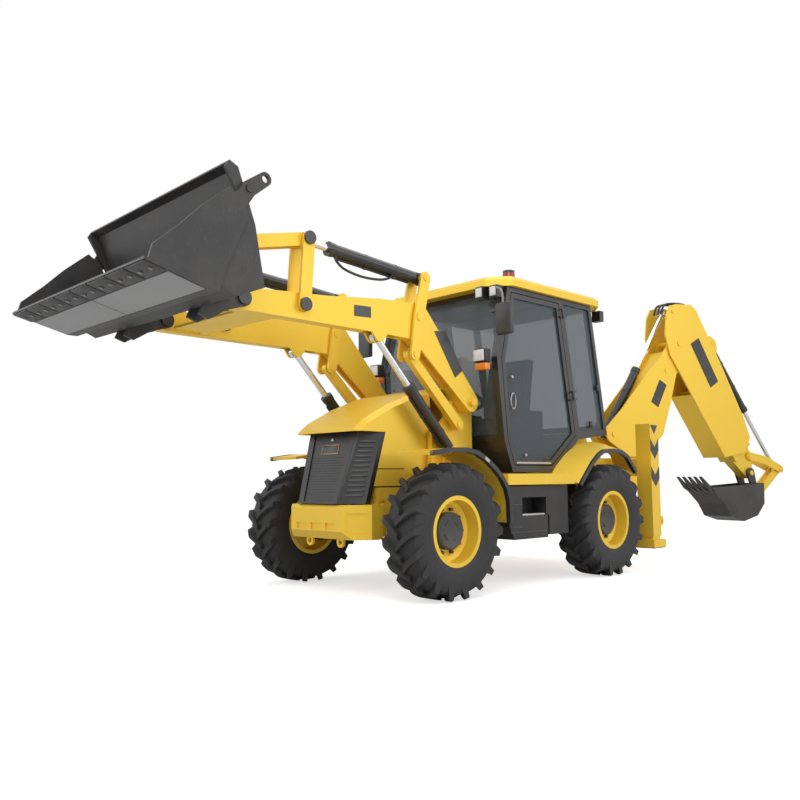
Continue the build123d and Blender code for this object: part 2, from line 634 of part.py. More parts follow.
def pin_heads(place):
    """Round heads on both ends of a loader pin, just clear of the lever's faces."""
    for low, high in ((lever_high + 1, lever_high + 1 + PIN_HEAD),
                      (-lever_high - 1 - PIN_HEAD, -lever_high - 1)):
        pin(ARM_PLANE, at(place), PIN_HEAD_RADIUS, low, high)


with BuildPart() as lever_pins:
    pin(ARM_PLANE, at(FRONT_LEVER_PIN), PIN_RADIUS, -lever_high - 8, lever_high + 8)
    pin_heads(FRONT_LEVER_PIN)
    mirror(about=Plane.YZ)
save(lever_pins, "lever_pins")

with BuildPart() as front_levers:
    stations = beam_side([(*FRONT_LEVER_TOP, 47), (*FRONT_LEVER_PIN, 47)])
    for low, high in ((lever_low, lever_high), (-lever_high, -lever_low)):
        beam(ARM_PLANE, stations, low, high)
    pin(ARM_PLANE, at(FRONT_LEVER_PIN), PIN_RADIUS + PIN_FIT, -80, 80, Mode.SUBTRACT)
    pin(ARM_PLANE, at(FRONT_LEVER_TOP), 26 + PIN_FIT, -80, 80, Mode.SUBTRACT)
    mirror(about=Plane.YZ)
save(front_levers, "front_levers")

with BuildPart() as link_pins:
    for low, high in ((arm_high - 20, lever_high + 8), (-lever_high - 8, -arm_high + 20)):
        pin(ARM_PLANE, at(FRONT_LEVER_TOP), 26, low, high)
    pin_heads(FRONT_LEVER_TOP)
    mirror(about=Plane.YZ)
save(link_pins, "link_pins")

with BuildPart() as bucket_links:
    stations = beam_side([(*FRONT_LEVER_TOP, 44), (*LINK_PIN_ON_SHOVEL, 44)])
    for low, high in ((arm_high - 20, arm_high), (-arm_high, -arm_high + 20)):
        beam(ARM_PLANE, stations, low, high)
    web_start = along(FRONT_LEVER_TOP, LINK_PIN_ON_SHOVEL, 110)
    web_end = along(FRONT_LEVER_TOP, LINK_PIN_ON_SHOVEL, 470)
    beam(ARM_PLANE, beam_side([(*web_start, 16), (*web_end, 16)]), -arm_high + 20, arm_high - 20)
    pin(ARM_PLANE, at(FRONT_LEVER_TOP), 26 + PIN_FIT, -80, 80, Mode.SUBTRACT)
    pin(ARM_PLANE, at(LINK_PIN_ON_SHOVEL), 20, -80, 80, Mode.SUBTRACT)
    mirror(about=Plane.YZ)
save(bucket_links, "bucket_links")

with BuildPart() as shovel_pins:
    pin(ARM_PLANE, at(SHOVEL_PIN), PIN_RADIUS, -lever_high - 8, lever_high + 8)
    pin_heads(SHOVEL_PIN)
    mirror(about=Plane.YZ)
save(shovel_pins, "shovel_pins")

with BuildPart() as lift_barrels:
    ram_barrel(ARM_PLANE, at(LIFT_FOOT), at(LIFT_EYE), LIFT_GLAND, LIFT_BARREL_RADIUS,
               LIFT_ROD_RADIUS, 26)
    mirror(about=Plane.YZ)
save(lift_barrels, "lift_barrels")

with BuildPart() as lift_rods:
    ram_rod(ARM_PLANE, at(LIFT_FOOT), at(LIFT_EYE), LIFT_GLAND, LIFT_ROD_INSIDE,
            LIFT_ROD_RADIUS, 20)
    mirror(about=Plane.YZ)
save(lift_rods, "lift_rods")

with BuildPart() as crowd_barrels:
    ram_barrel(ARM_PLANE, at(REAR_LEVER_TOP), at(FRONT_LEVER_TOP), CROWD_GLAND,
               CROWD_BARREL_RADIUS, CROWD_ROD_RADIUS, 26)
    mirror(about=Plane.YZ)
save(crowd_barrels, "crowd_barrels")

with BuildPart() as crowd_rods:
    ram_rod(ARM_PLANE, at(REAR_LEVER_TOP), at(FRONT_LEVER_TOP), CROWD_GLAND, CROWD_ROD_INSIDE,
            CROWD_ROD_RADIUS, 20)
    mirror(about=Plane.YZ)
save(crowd_rods, "crowd_rods")

# ---------------------------------------------------------------- clamshell shovel
BACK_SIDE = [(-1620, 1965), (-1690, 2327), (-1810, 2642), (-1868, 2669), (-1896, 2624),
             (-1738, 2361), (-1885, 2030), (-1916, 1934), (-1812, 1888)]
BACK_SHEET = [(-1916, 1934), (-1812, 1888), (-1620, 1965), (-1690, 2327), (-1810, 2642),
              (-1868, 2669)]
HITCH = [(-1500, 1935), (-1650, 1886), (-1765, 1815), (-1838, 1839), (-1800, 1925), (-1640, 2000)]
SIDE_SHEET = 20
half = SHOVEL_HALF_WIDTH
jaw_low = half - SIDE_SHEET
back_half = jaw_low - GAP
with BuildPart() as shovel_back:
    sheet = ribbon(BACK_SHEET, SHOVEL_SHEET)
    inside = ribbon(sheet[:len(BACK_SHEET) - 1:-1], 130)
    for hand in (-1, 1):
        arm_side = Plane.YZ.offset(hand * ARM_X)
        for low, high in ((lever_low, lever_high), (-lever_high, -lever_low)):
            beam(arm_side, beam_side([(*SHOVEL_PIN, 58), (-1640, 2060, 75)]), low, high)
            plate(arm_side, side(HITCH), low, high)
            pin(arm_side, at(SHOVEL_PIN), PIN_RADIUS + PIN_FIT, low - 1, high + 1, Mode.SUBTRACT)
        beam(arm_side, beam_side([(*LINK_PIN_ON_SHOVEL, 42), (-1690, 2330, 60)]), -22, 22)
        pin(arm_side, at(LINK_PIN_ON_SHOVEL), 20, -23, 23, Mode.SUBTRACT)
    plate(SIDE, side(inside), -back_half, back_half, Mode.SUBTRACT)
    plate(SIDE, side(sheet), -back_half, back_half)
    for low, high in ((back_half - SIDE_SHEET, back_half), (-back_half, -back_half + SIDE_SHEET)):
        plate(SIDE, side(BACK_SIDE), low, high)
        pin(SIDE, at(JAW_PIVOT), 45, low, high)
    for low, high in ((back_half - SIDE_SHEET, half + 10), (-half - 10, -back_half + SIDE_SHEET)):
        pin(SIDE, at(JAW_PIVOT), 22, low, high)
save(shovel_back, "shovel_back")

JAW_SIDE = [(-2386, 1993), (-2006, 1893), (-1935, 1893), (-1922, 1934), (-1893, 2034),
            (-1748, 2361), (-1800, 2450), (-1879, 2503), (-2051, 2355), (-2187, 2217),
            (-2336, 2083), (-2359, 2005)]
with BuildPart() as shovel_jaw:
    plate(SIDE, side(ribbon([(-2386, 1993), (-2006, 1893), (-1935, 1893)], SHOVEL_SHEET)),
          -half, half)
    for low, high in ((jaw_low, half), (-half, -jaw_low)):
        plate(SIDE, side(JAW_SIDE), low, high)
        beam(SIDE, beam_side([(-1876, 2324, 45), (*JAW_PIVOT, 48), (*JAW_TAIL, 42)]), low, high)
        pin(SIDE, at(JAW_TAIL), 22, low - 1, high + 1, Mode.SUBTRACT)
        pin(SIDE, at(JAW_PIVOT), 22 + PIN_FIT, low - 1, high + 1, Mode.SUBTRACT)
save(shovel_jaw, "shovel_jaw")

# ---------------------------------------------------------------- cab
CAB_SIDE = [(930, 2430), (775, 1820), (850, 1156), (950, CAB_FLOOR), (1520, CAB_FLOOR),
            (1900, 1190), (2365, 1240), (2145, 2430)]
DOOR_SIDE = [(975, 2385), (830, 1820), (892, 1156), (975, 952), (1490, 952), (1850, 1218),
             (1644, 2385)]
QUARTER_SIDE = [(1715, 2385), (1915, 1265), (2310, 1290), (2110, 2385)]
DOOR_HINGES = [(1678, 2298), (1806, 1573)]
HINGE_OUT = 16               # hinge axis outside the cab's side
HINGE_PIN_RADIUS = 8
HINGE_KNUCKLE = 24           # half length of the door's knuckle


def hinge_plane(place, hand):
    """Plane square to the door's hinge axis: local x outwards, local y rearwards."""
    rise = Vector(0, DOOR_HINGES[0][0] - DOOR_HINGES[1][0], DOOR_HINGES[0][1] - DOOR_HINGES[1][1])
    origin = (hand * (CAB_HALF_WIDTH + HINGE_OUT), *at(place))
    return Plane(origin=origin, x_dir=(1, 0, 0), z_dir=rise)


with BuildPart() as cab_frame:
    plate(SIDE, side(CAB_SIDE), -CAB_HALF_WIDTH, CAB_HALF_WIDTH)
    inner = offset(polygon(SIDE.offset(-CAB_HALF_WIDTH + CAB_WALL), side(CAB_SIDE)),
                   amount=-CAB_WALL, kind=Kind.INTERSECTION, mode=Mode.PRIVATE)
    extrude(inner, amount=2 * (CAB_HALF_WIDTH - CAB_WALL), mode=Mode.SUBTRACT)
    for outline in (DOOR_SIDE, QUARTER_SIDE):
        plate(SIDE, side(outline), -CAB_HALF_WIDTH - 1, CAB_HALF_WIDTH + 1, Mode.SUBTRACT)
    glass_half = CAB_HALF_WIDTH - CAB_WALL - 8
    plate(SIDE, side([(700, 1200), (960, 1200), (860, 1820), (985, 2385), (700, 2385)]),
          -glass_half, glass_half, Mode.SUBTRACT)
    plate(SIDE, side([(2500, 1330), (2200, 1330), (2000, 2385), (2500, 2385)]),
          -glass_half, glass_half, Mode.SUBTRACT)
    for hand in (-1, 1):
        near, far = sorted((-hand * HINGE_OUT, hand * 8))
        for place in DOOR_HINGES:
            axis = hinge_plane(place, hand)
            pin(axis, (0, 0), HINGE_PIN_RADIUS, -HINGE_KNUCKLE - 16, HINGE_KNUCKLE + 16)
            for low in (-HINGE_KNUCKLE - 16, HINGE_KNUCKLE + 2):
                plate(axis, [(near, -8), (far, -8), (far, 48), (near, 48)], low, low + 14)
save(cab_frame, "cab_frame")

with BuildPart() as cab_glass:
    plate(SIDE, side(ribbon([(861, 1203), (787, 1820), (929, 2382)], -GLASS)),
          -glass_half, glass_half)
    plate(SIDE, side(ribbon([(2339, 1332), (2145, 2383)], GLASS)), -glass_half, glass_half)
    for low in (CAB_HALF_WIDTH - 20, -CAB_HALF_WIDTH + 20 - GLASS):
        plate(SIDE, side(QUARTER_SIDE), low, low + GLASS)
save(cab_glass, "cab_glass")

ROOF_HALF = 735
with BuildPart() as cab_roof:
    with BuildSketch(Plane.XY.offset(2430)) as plan:
        with BuildLine():
            Polyline(*[(x, FRONT_AXLE_Y + y) for x, y in (
                (-560, 815), (560, 815), (ROOF_HALF, 960), (ROOF_HALF, 2230), (600, 2385),
                (-600, 2385), (-ROOF_HALF, 2230), (-ROOF_HALF, 960))], close=True)
        make_face()
    extrude(amount=85)
    chamfer(cab_roof.faces().sort_by(Axis.Z)[-1].edges(), 30)
save(cab_roof, "cab_roof")

for name, hand in (("left", 1), ("right", -1)):
    with BuildPart() as door:
        low, high = sorted((hand * (CAB_HALF_WIDTH - DOOR_THICKNESS), hand * CAB_HALF_WIDTH))
        leaf = offset(polygon(SIDE.offset(low), side(DOOR_SIDE)), amount=-DOOR_GAP,
                      kind=Kind.INTERSECTION, mode=Mode.PRIVATE)
        window = offset(polygon(SIDE.offset(low), side(DOOR_SIDE)), amount=-DOOR_GAP - DOOR_FRAME,
                        kind=Kind.INTERSECTION, mode=Mode.PRIVATE)
        extrude(leaf, amount=high - low)
        extrude(window, amount=high - low, mode=Mode.SUBTRACT)
        near, far = sorted((-hand * HINGE_OUT, -hand * 4))
        for place in DOOR_HINGES:
            axis = hinge_plane(place, hand)
            plate(axis, [(near, -80), (far, -80), (far, 0), (near, 0)], -HINGE_KNUCKLE, HINGE_KNUCKLE)
            pin(axis, (0, 0), HINGE_OUT - 1, -HINGE_KNUCKLE, HINGE_KNUCKLE)
            pin(axis, (0, 0), HINGE_PIN_RADIUS + PIN_FIT, -HINGE_KNUCKLE - 1, HINGE_KNUCKLE + 1,
                Mode.SUBTRACT)
    save(door, f"door_{name}")
    with BuildPart() as pane:
        pane_low = min(hand * (CAB_HALF_WIDTH - 20), hand * (CAB_HALF_WIDTH - 20 + GLASS))
        pane_face = offset(polygon(SIDE.offset(pane_low), side(DOOR_SIDE)),
                           amount=-DOOR_GAP - DOOR_FRAME, kind=Kind.INTERSECTION, mode=Mode.PRIVATE)
        extrude(pane_face, amount=GLASS)
    save(pane, f"door_glass_{name}")

with BuildPart() as operator_station:
    floor = CAB_FLOOR + CAB_WALL
    plate(SIDE, side([(1340, floor), (1500, floor), (1760, 1154), (1760, 1250), (1340, 1250)]),
          -240, 240)
    side_block((-250, 250), (1360, 1800), (1250, 1380))
    plate(SIDE, side([(1700, 1380), (1800, 1380), (1890, 1950), (1800, 1950)]), -230, 230)
    side_block((-60, 60), (1005, 1100), (floor, 1400))
    with BuildSketch(Plane(origin=(0, FRONT_AXLE_Y + 1055, 1380), z_dir=(0, 0.5, 1))) as column:
        Circle(30)
    extrude(column.sketch, amount=200)
    with Locations(Plane(origin=(0, FRONT_AXLE_Y + 1145, 1560), z_dir=(0, 0.5, 1))):
        Torus(180, 16)
        Box(350, 30, 16)
    for low, high in ((300, 420), (-420, -300)):
        plate(SIDE, side([(1300, floor), (1500, floor), (1750, 1148), (1750, 1450), (1300, 1450)]),
              low, high)
save(operator_station, "operator_station")

with BuildPart() as cab_fittings:
    with BuildSketch(Plane.XY.offset(2515)) as beacon:
        with Locations((430, FRONT_AXLE_Y + 1290)):
            Circle(52)
    extrude(beacon.sketch, amount=150)
    for hand in (-1, 1):
        for offset_x, lamp_y in ((510, 790), (630, 826)):
            low, high = sorted((hand * (offset_x - 42), hand * (offset_x + 42)))
            side_block((low, high), (lamp_y, lamp_y + 75), (2330, 2430))
        mirror_low, mirror_high = sorted((hand * 760, hand * 900))
        side_block((mirror_low, mirror_high), (700, 745), (1990, 2230))
        stalk_low, stalk_high = sorted((hand * 690, hand * 770))
        side_block((stalk_low, stalk_high), (715, 740), (2180, 2205))
        post_low, post_high = sorted((hand * 676, hand * 700))
        side_block((post_low, post_high), (715, 866), (2180, 2205))
        rear_low, rear_high = sorted((hand * 560, hand * 650))
        side_block((rear_low, rear_high), (2385, 2450), (2330, 2430))
save(cab_fittings, "cab_fittings")

# ---------------------------------------------------------------- fenders, tanks and steps
FENDER_OUTER_X = 950
FENDER_INNER_X = CAB_HALF_WIDTH
# Rear wheel arch: place from the rear axle, height.
ARCH_OUTER = [(-502, 800), (-432, 870), (-310, 985), (-192, 1062), (-122, 1090), (20, 1098),
              (158, 1092), (268, 1050), (350, 975), (418, 905)]
ARCH_INNER = [(-552, 880), (-482, 950), (-340, 1055), (-162, 1142), (-62, 1166), (80, 1174),
              (218, 1168), (358, 1120), (430, 1035), (478, 960)]
MUDGUARD = [(-250, 1040), (-60, 1066), (100, 1068), (220, 1048), (330, 996), (420, 934), (500, 866),
            (560, 785), (592, 690), (600, 520)]
with BuildPart() as fenders:
    for x, arch in ((FENDER_INNER_X, ARCH_INNER), (FENDER_OUTER_X, ARCH_OUTER)):
        path = [(WHEELBASE + y, z) for y, z in arch]
        with BuildSketch(Plane.YZ.offset(x)):
            with BuildLine():
                Polyline(*side(ribbon(path, -26)), close=True)
            make_face()
    loft(ruled=True)
    side_block((FENDER_INNER_X, 930), (600, WHEELBASE - 547), (800, 885))
    plate(SIDE, side(ribbon(MUDGUARD, -22)), 600, 960)
    side_block((ARM_X + ARM_WIDTH / 2, 610), (390, 470), (shelf_bottom, shelf_top - 12))
    mirror(about=Plane.YZ)
save(fenders, "fenders")

tank_rear = WHEELBASE - 612
tank_split = tank_rear - 280
with BuildPart() as side_tanks:
    for hand in (-1, 1):
        low, high = sorted((hand * 480, hand * 900))
        plate(SIDE, side([(640, 480), (700, 380), (tank_split, 380), (tank_split, 790), (640, 790)]),
              low, high)
        side_block((low, high), (tank_split + 20, tank_rear), (400, 790))
        side_block((low, high), (tank_split - 10, tank_split + 30), (560, 790))
        step_low, step_high = sorted((hand * 760, hand * 901))
        side_block((step_low, step_high), (800, tank_split - 20), (560, 700), Mode.SUBTRACT)
        hang_low, hang_high = sorted((hand * (RAIL_X + RAIL_WIDTH), hand * 480))
        side_block((hang_low, hang_high), (800, 860), (620, 700))
        side_block((hang_low, hang_high), (tank_rear - 160, tank_rear - 100), (620, 700))
save(side_tanks, "side_tanks")

# ---------------------------------------------------------------- rear frame and stabilisers
post_outer = POST_INNER_X + POST_SIDE
UPPER_RAIL = (860, 1020)
LOWER_RAIL = (500, 620)
with BuildPart() as rear_frame:
    for hand in (-1, 1):
        low, high = sorted((hand * POST_INNER_X, hand * post_outer))
        side_block((low, high), (POST_FRONT, POST_FRONT + POST_SIDE), (POST_BOTTOM, POST_TOP))
        side_block((low + POST_WALL, high - POST_WALL),
                   (POST_FRONT + POST_WALL, POST_FRONT + POST_SIDE - POST_WALL),
                   (POST_BOTTOM - 1, POST_TOP - 12), Mode.SUBTRACT)
        side_block((low + 30, high - 30), (POST_FRONT + POST_SIDE, POST_FRONT + POST_SIDE + 34),
                   (1110, 1290))
        eye_y = POST_FRONT + POST_SIDE + EYE_RADIUS - POST_WALL
        lashing_eye(SIDE.offset(hand * (post_outer - 20)), at((eye_y, 430)), at((eye_y, 446)))
    for z_range in (UPPER_RAIL, LOWER_RAIL):
        side_block((-POST_INNER_X, POST_INNER_X), (RAIL_REAR + 20, RAIL_FACE), z_range)
    side_block((-RAIL_X - RAIL_WIDTH, RAIL_X + RAIL_WIDTH), (RAIL_REAR, RAIL_REAR + 20),
               (LOWER_RAIL[0], UPPER_RAIL[1]))
save(rear_frame, "rear_frame")

leg_side = POST_SIDE - 2 * (POST_WALL + LEG_CLEAR)
leg_front = POST_FRONT + POST_WALL + LEG_CLEAR
for name, hand in (("left", 1), ("right", -1)):
    with BuildPart() as stabiliser_leg:
        near = POST_INNER_X + POST_WALL + LEG_CLEAR
        low, high = sorted((hand * near, hand * (near + leg_side)))
        side_block((low, high), (leg_front, leg_front + leg_side), (FOOT_HEIGHT + 30, POST_TOP - 60))
        side_block((low - 35, high + 35), (leg_front - 45, leg_front + leg_side + 45),
                   (FOOT_HEIGHT, FOOT_HEIGHT + 70))
    save(stabiliser_leg, f"stabiliser_leg_{name}")

# ---------------------------------------------------------------- backhoe
slew_y = FRONT_AXLE_Y + SLEW_Y
carriage_plate = (RAIL_FACE + RUN_FIT, RAIL_FACE + 36)
carriage_top = UPPER_RAIL[1] + 20
carriage_bottom = LOWER_RAIL[0] - 20
UPPER_JAW = (872, 950)
LOWER_JAW = (500, 580)
SLEW_PIN_RADIUS = 45
with BuildPart() as carriage:
    side_block((SHIFT_X - 230, SHIFT_X + 230), carriage_plate, (carriage_bottom, carriage_top))
    for z_range in (UPPER_JAW, LOWER_JAW):
        side_block((SHIFT_X - 130, SHIFT_X + 130), (carriage_plate[1], SLEW_Y - 20), z_range)
        with BuildSketch(Plane.XY.offset(z_range[0])) as boss:
            with Locations((SHIFT_X, slew_y)):
                Circle(100)
        extrude(boss.sketch, amount=z_range[1] - z_range[0])
    with BuildSketch(Plane.XY.offset(LOWER_JAW[0] - 10)) as bore:
        with Locations((SHIFT_X, slew_y)):
            Circle(SLEW_PIN_RADIUS + PIN_FIT)
    extrude(bore.sketch, amount=UPPER_JAW[1] - LOWER_JAW[0] + 20, mode=Mode.SUBTRACT)
    for lip in ((UPPER_RAIL[1] + RUN_FIT, carriage_top), (carriage_bottom, LOWER_RAIL[0] - RUN_FIT)):
        side_block((SHIFT_X - 230, SHIFT_X + 230), (RAIL_FACE - 40, carriage_plate[1]), lip)
save(carriage, "carriage")

turn = radians(SLEW_ANGLE)
HOE = Plane(origin=(SHIFT_X, slew_y, 0), x_dir=(sin(turn), cos(turn), 0),
            z_dir=(cos(turn), -sin(turn), 0))
kingpost_half = 68
kingpost_wall = 18
with BuildPart() as kingpost:
    with BuildSketch(Plane.XY.offset(LOWER_JAW[1] + 2)) as column:
        with Locations((SHIFT_X, slew_y)):
            Circle(88)
    extrude(column.sketch, amount=UPPER_JAW[0] - LOWER_JAW[1] - 4)
    with BuildSketch(Plane.XY.offset(LOWER_JAW[0] - 8)) as slew_pin:
        with Locations((SHIFT_X, slew_y)):
            Circle(SLEW_PIN_RADIUS)
    extrude(slew_pin.sketch, amount=UPPER_JAW[1] - LOWER_JAW[0] + 16)
    for low, high in ((kingpost_half - kingpost_wall, kingpost_half),
                      (-kingpost_half, -kingpost_half + kingpost_wall)):
        plate(HOE, [(60, 600), (200, 600), (440, 870), (440, 1000), (380, 1240), (240, 1240),
                    (180, 1080), (140, 860), (60, 860)], low, high)
    plate(HOE, [(60, 600), (150, 600), (260, 730), (260, 860), (60, 860)],
          -kingpost_half, kingpost_half)
    pin(HOE, BOOM_RAM_BASE, 26, -kingpost_half - 4, kingpost_half + 4)
    pin(HOE, FOOT_PIN, 36, -BOOM_HALF - 12, BOOM_HALF + 12)
save(kingpost, "kingpost")

boom_inner = BOOM_HALF - BOOM_WALL
BOOM_SIDE = [(771, 2252), (421, 1923), (56, 1543), (-161, 1349), (-177, 1290), (-120, 1215),
             (150, 1062), (380, 1062), (640, 1300), (767, 1633), (898, 2038)]
with BuildPart() as boom:
    for low, high in ((boom_inner, BOOM_HALF), (-BOOM_HALF, -boom_inner)):
        plate(HOE, BOOM_SIDE, low, high)
        beam(HOE, [(*BOOM_PIN, 95), (790, 2080, 150)], low, high)
        pin(HOE, FOOT_PIN, 105, low, high)
    web = ribbon([(40, 1320), (230, 1450), (500, 1900), (745, 2200)], -BOOM_WALL)
    plate(HOE, web, -boom_inner, boom_inner)
    for low, high in ((kingpost_half + GAP, boom_inner), (-boom_inner, -kingpost_half - GAP)):
        pin(HOE, FOOT_PIN, 62, low, high)
    pin(HOE, FOOT_PIN, 36 + PIN_FIT, -BOOM_HALF - 1, BOOM_HALF + 1, Mode.SUBTRACT)
    pin(HOE, DIPPER_RAM_BASE, 26, -BOOM_HALF - 10, BOOM_HALF + 10)
    pin(HOE, BOOM_PIN, 36, -DIPPER_HALF - 10, DIPPER_HALF + 10)
    for low, high in ((boom_inner - 2, BOOM_HALF + 10), (-BOOM_HALF - 10, -boom_inner + 2)):
        pin(HOE, BOOM_RAM_PIN, 26, low, high)
save(boom, "boom")

DIPPER_AXIS = (Vector(*BUCKET_PIN) - Vector(*BOOM_PIN)).normalized()


def dip(x, y):
    """Arm-plane place x along the dipper from its pivot and y towards its back."""
    run_s, run_z = DIPPER_AXIS.X, DIPPER_AXIS.Y
    return (BOOM_PIN[0] + x * run_s - y * run_z, BOOM_PIN[1] + x * run_z + y * run_s)


DIPPER_SIDE = [(705, 2370), (735, 2600), (790, 2700), (890, 2725), (1120, 2735), (1200, 2680),
               (1270, 2560), (1549, 2123), (1897, 1513), (1990, 1290), (1890, 1120), (1561, 1060),
               (766, 2163)]
dipper_inner = DIPPER_HALF - DIPPER_WALL
with BuildPart() as dipper:
    for low, high in ((dipper_inner, DIPPER_HALF), (-DIPPER_HALF, -dipper_inner)):
        plate(HOE, DIPPER_SIDE, low, high)
        pin(HOE, BOOM_PIN, 36 + PIN_FIT, low - 1, high + 1, Mode.SUBTRACT)
        pin(HOE, DIPPER_EAR, 26, low if low > 0 else low - 10, high + 10 if low > 0 else high)
    plate(HOE, [dip(540, -232), dip(1369, -277), dip(1375, -261), dip(540, -216)],
          -dipper_inner, dipper_inner)
    pin(HOE, (1065, 2632), 30, -dipper_inner, dipper_inner)
save(dipper, "dipper")

with BuildPart() as dipper_extension:
    plate(HOE, [dip(560, -130), dip(1548, -130), dip(1548, 190), dip(560, 190)], -110, 110)
    plate(HOE, [dip(559, -118), dip(1530, -118), dip(1530, 178), dip(559, 178)], -98, 98,
          Mode.SUBTRACT)
    for low, high in ((108, dipper_inner - RUN_FIT), (-dipper_inner + RUN_FIT, -108)):
        for x in (590, 1250):
            plate(HOE, [dip(x, -100), dip(x + 90, -100), dip(x + 90, 160), dip(x, 160)], low, high)
    plate(HOE, [dip(150, 190), dip(1500, 190), dip(1500, 240), dip(640, 300), dip(430, 550),
                dip(351, 580), dip(270, 545), dip(150, 400)], -60, 60)
    plate(HOE, [dip(250, 440), dip(700, 440), dip(700, 600), dip(250, 600)], -52, 52, Mode.SUBTRACT)
    for stations in ([(*BUCKET_PIN, 62), (*LEVER_PIVOT, 52), (*dip(1540, 90), 95)],
                     [(*BUCKET_PIN, 62), (*dip(1540, -20), 105)]):
        beam(HOE, stations, -NOSE_HALF, NOSE_HALF)
    pin(HOE, BUCKET_RAM_BASE, 24, -74, 74)
    pin(HOE, BUCKET_PIN, 28, -NOSE_HALF - 42, NOSE_HALF + 42)
    pin(HOE, LEVER_PIVOT, 28, -NOSE_HALF - 34, NOSE_HALF + 34)
save(dipper_extension, "dipper_extension")

BUCKET_PATH = [(1283, 725), (1481, 548), (1571, 410), (1786, 352), (2013, 408), (2138, 541),
               (2146, 772)]
bucket_ear = NOSE_HALF + GAP
TOOTH_COUNT = 5
with BuildPart() as dig_bucket:
    plate(HOE, ribbon(BUCKET_PATH, 14), -DIG_BUCKET_HALF, DIG_BUCKET_HALF)
    for low, high in ((DIG_BUCKET_HALF - 14, DIG_BUCKET_HALF),
                      (-DIG_BUCKET_HALF, -DIG_BUCKET_HALF + 14)):
        plate(HOE, BUCKET_PATH, low, high)
    for low, high in ((bucket_ear, bucket_ear + 24), (-bucket_ear - 24, -bucket_ear)):
        beam(HOE, [(*BUCKET_PIN, 58), (2098, 750, 45)], low, high)
        pin(HOE, BUCKET_PIN, 28 + PIN_FIT, low - 1, high + 1, Mode.SUBTRACT)
    beam(HOE, [(*BUCKET_LINK_PIN, 44), (2125, 660, 50)], -22, 22)
    plate(HOE, BUCKET_PATH[:-1] + [(2132, 772)], -40, 40, Mode.SUBTRACT)
    plate(HOE, ribbon(BUCKET_PATH, 14), -60, 60)
    pin(HOE, BUCKET_LINK_PIN, 20, -23, 23, Mode.SUBTRACT)
    pitch = (2 * DIG_BUCKET_HALF - 60) / (TOOTH_COUNT - 1)
    for index in range(TOOTH_COUNT):
        middle = -DIG_BUCKET_HALF + 30 + index * pitch
        plate(HOE, [(1350, 668), (1330, 700), (1275, 748), (1140, 850), (1250, 720)],
              middle - 22, middle + 22)
save(dig_bucket, "dig_bucket")

with BuildPart() as tipping_lever:
    for low, high in ((bucket_ear, bucket_ear + 18), (-bucket_ear - 18, -bucket_ear)):
        beam(HOE, [(*LEVER_PIVOT, 44), (2340, 1030, 46), (*LEVER_OUTER, 40)], low, high)
        pin(HOE, LEVER_PIVOT, 28 + PIN_FIT, low - 1, high + 1, Mode.SUBTRACT)
    for low, high in ((27, NOSE_HALF + 34), (-NOSE_HALF - 34, -27)):
        pin(HOE, LEVER_OUTER, 24, low, high)
save(tipping_lever, "tipping_lever")

with BuildPart() as tipping_link:
    for low, high in ((30, 50), (-50, -30)):
        beam(HOE, [(*LEVER_OUTER, 42), (*BUCKET_LINK_PIN, 42)], low, high)
        pin(HOE, LEVER_OUTER, 24 + PIN_FIT, low - 1, high + 1, Mode.SUBTRACT)
        pin(HOE, BUCKET_LINK_PIN, 20, low - 1, high + 1, Mode.SUBTRACT)
    beam(HOE, [(*along(LEVER_OUTER, BUCKET_LINK_PIN, 150), 14),
               (*along(LEVER_OUTER, BUCKET_LINK_PIN, 330), 14)], -30, 30)
save(tipping_link, "tipping_link")

# Backhoe rams: name, pin on the carrying piece, pin on the moved piece, gland, rod inside,
# pin radius.
HOE_RAMS = [
    ("boom_ram", BOOM_RAM_BASE, BOOM_RAM_PIN, BOOM_GLAND, 120, 26),
    ("dipper_ram", DIPPER_RAM_BASE, DIPPER_EAR, DIPPER_GLAND, 150, 26),
    ("bucket_ram", BUCKET_RAM_BASE, LEVER_OUTER, BUCKET_GLAND, 150, 24),
]
for name, base, tip, gland, inside, pin_radius in HOE_RAMS:
    with BuildPart() as barrel:
        ram_barrel(HOE, base, tip, gland, HOE_BARREL_RADIUS, HOE_ROD_RADIUS, pin_radius)
    save(barrel, f"{name}_barrel")
    with BuildPart() as ram:
        ram_rod(HOE, base, tip, gland, inside, HOE_ROD_RADIUS, 20)
    save(ram, f"{name}_rod")
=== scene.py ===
"""Dresses the compact backhoe loader: finishes, tread, trim, hoses, lamps, camera and light.

Lengths are in metres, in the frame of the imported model: +Z up, -Y the machine's front and +X its
left side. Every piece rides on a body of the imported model.
"""

import json
import logging
import math
from dataclasses import dataclass
from enum import Enum
from typing import Optional, Sequence

import bmesh
import bpy
from mathutils import Matrix, Vector

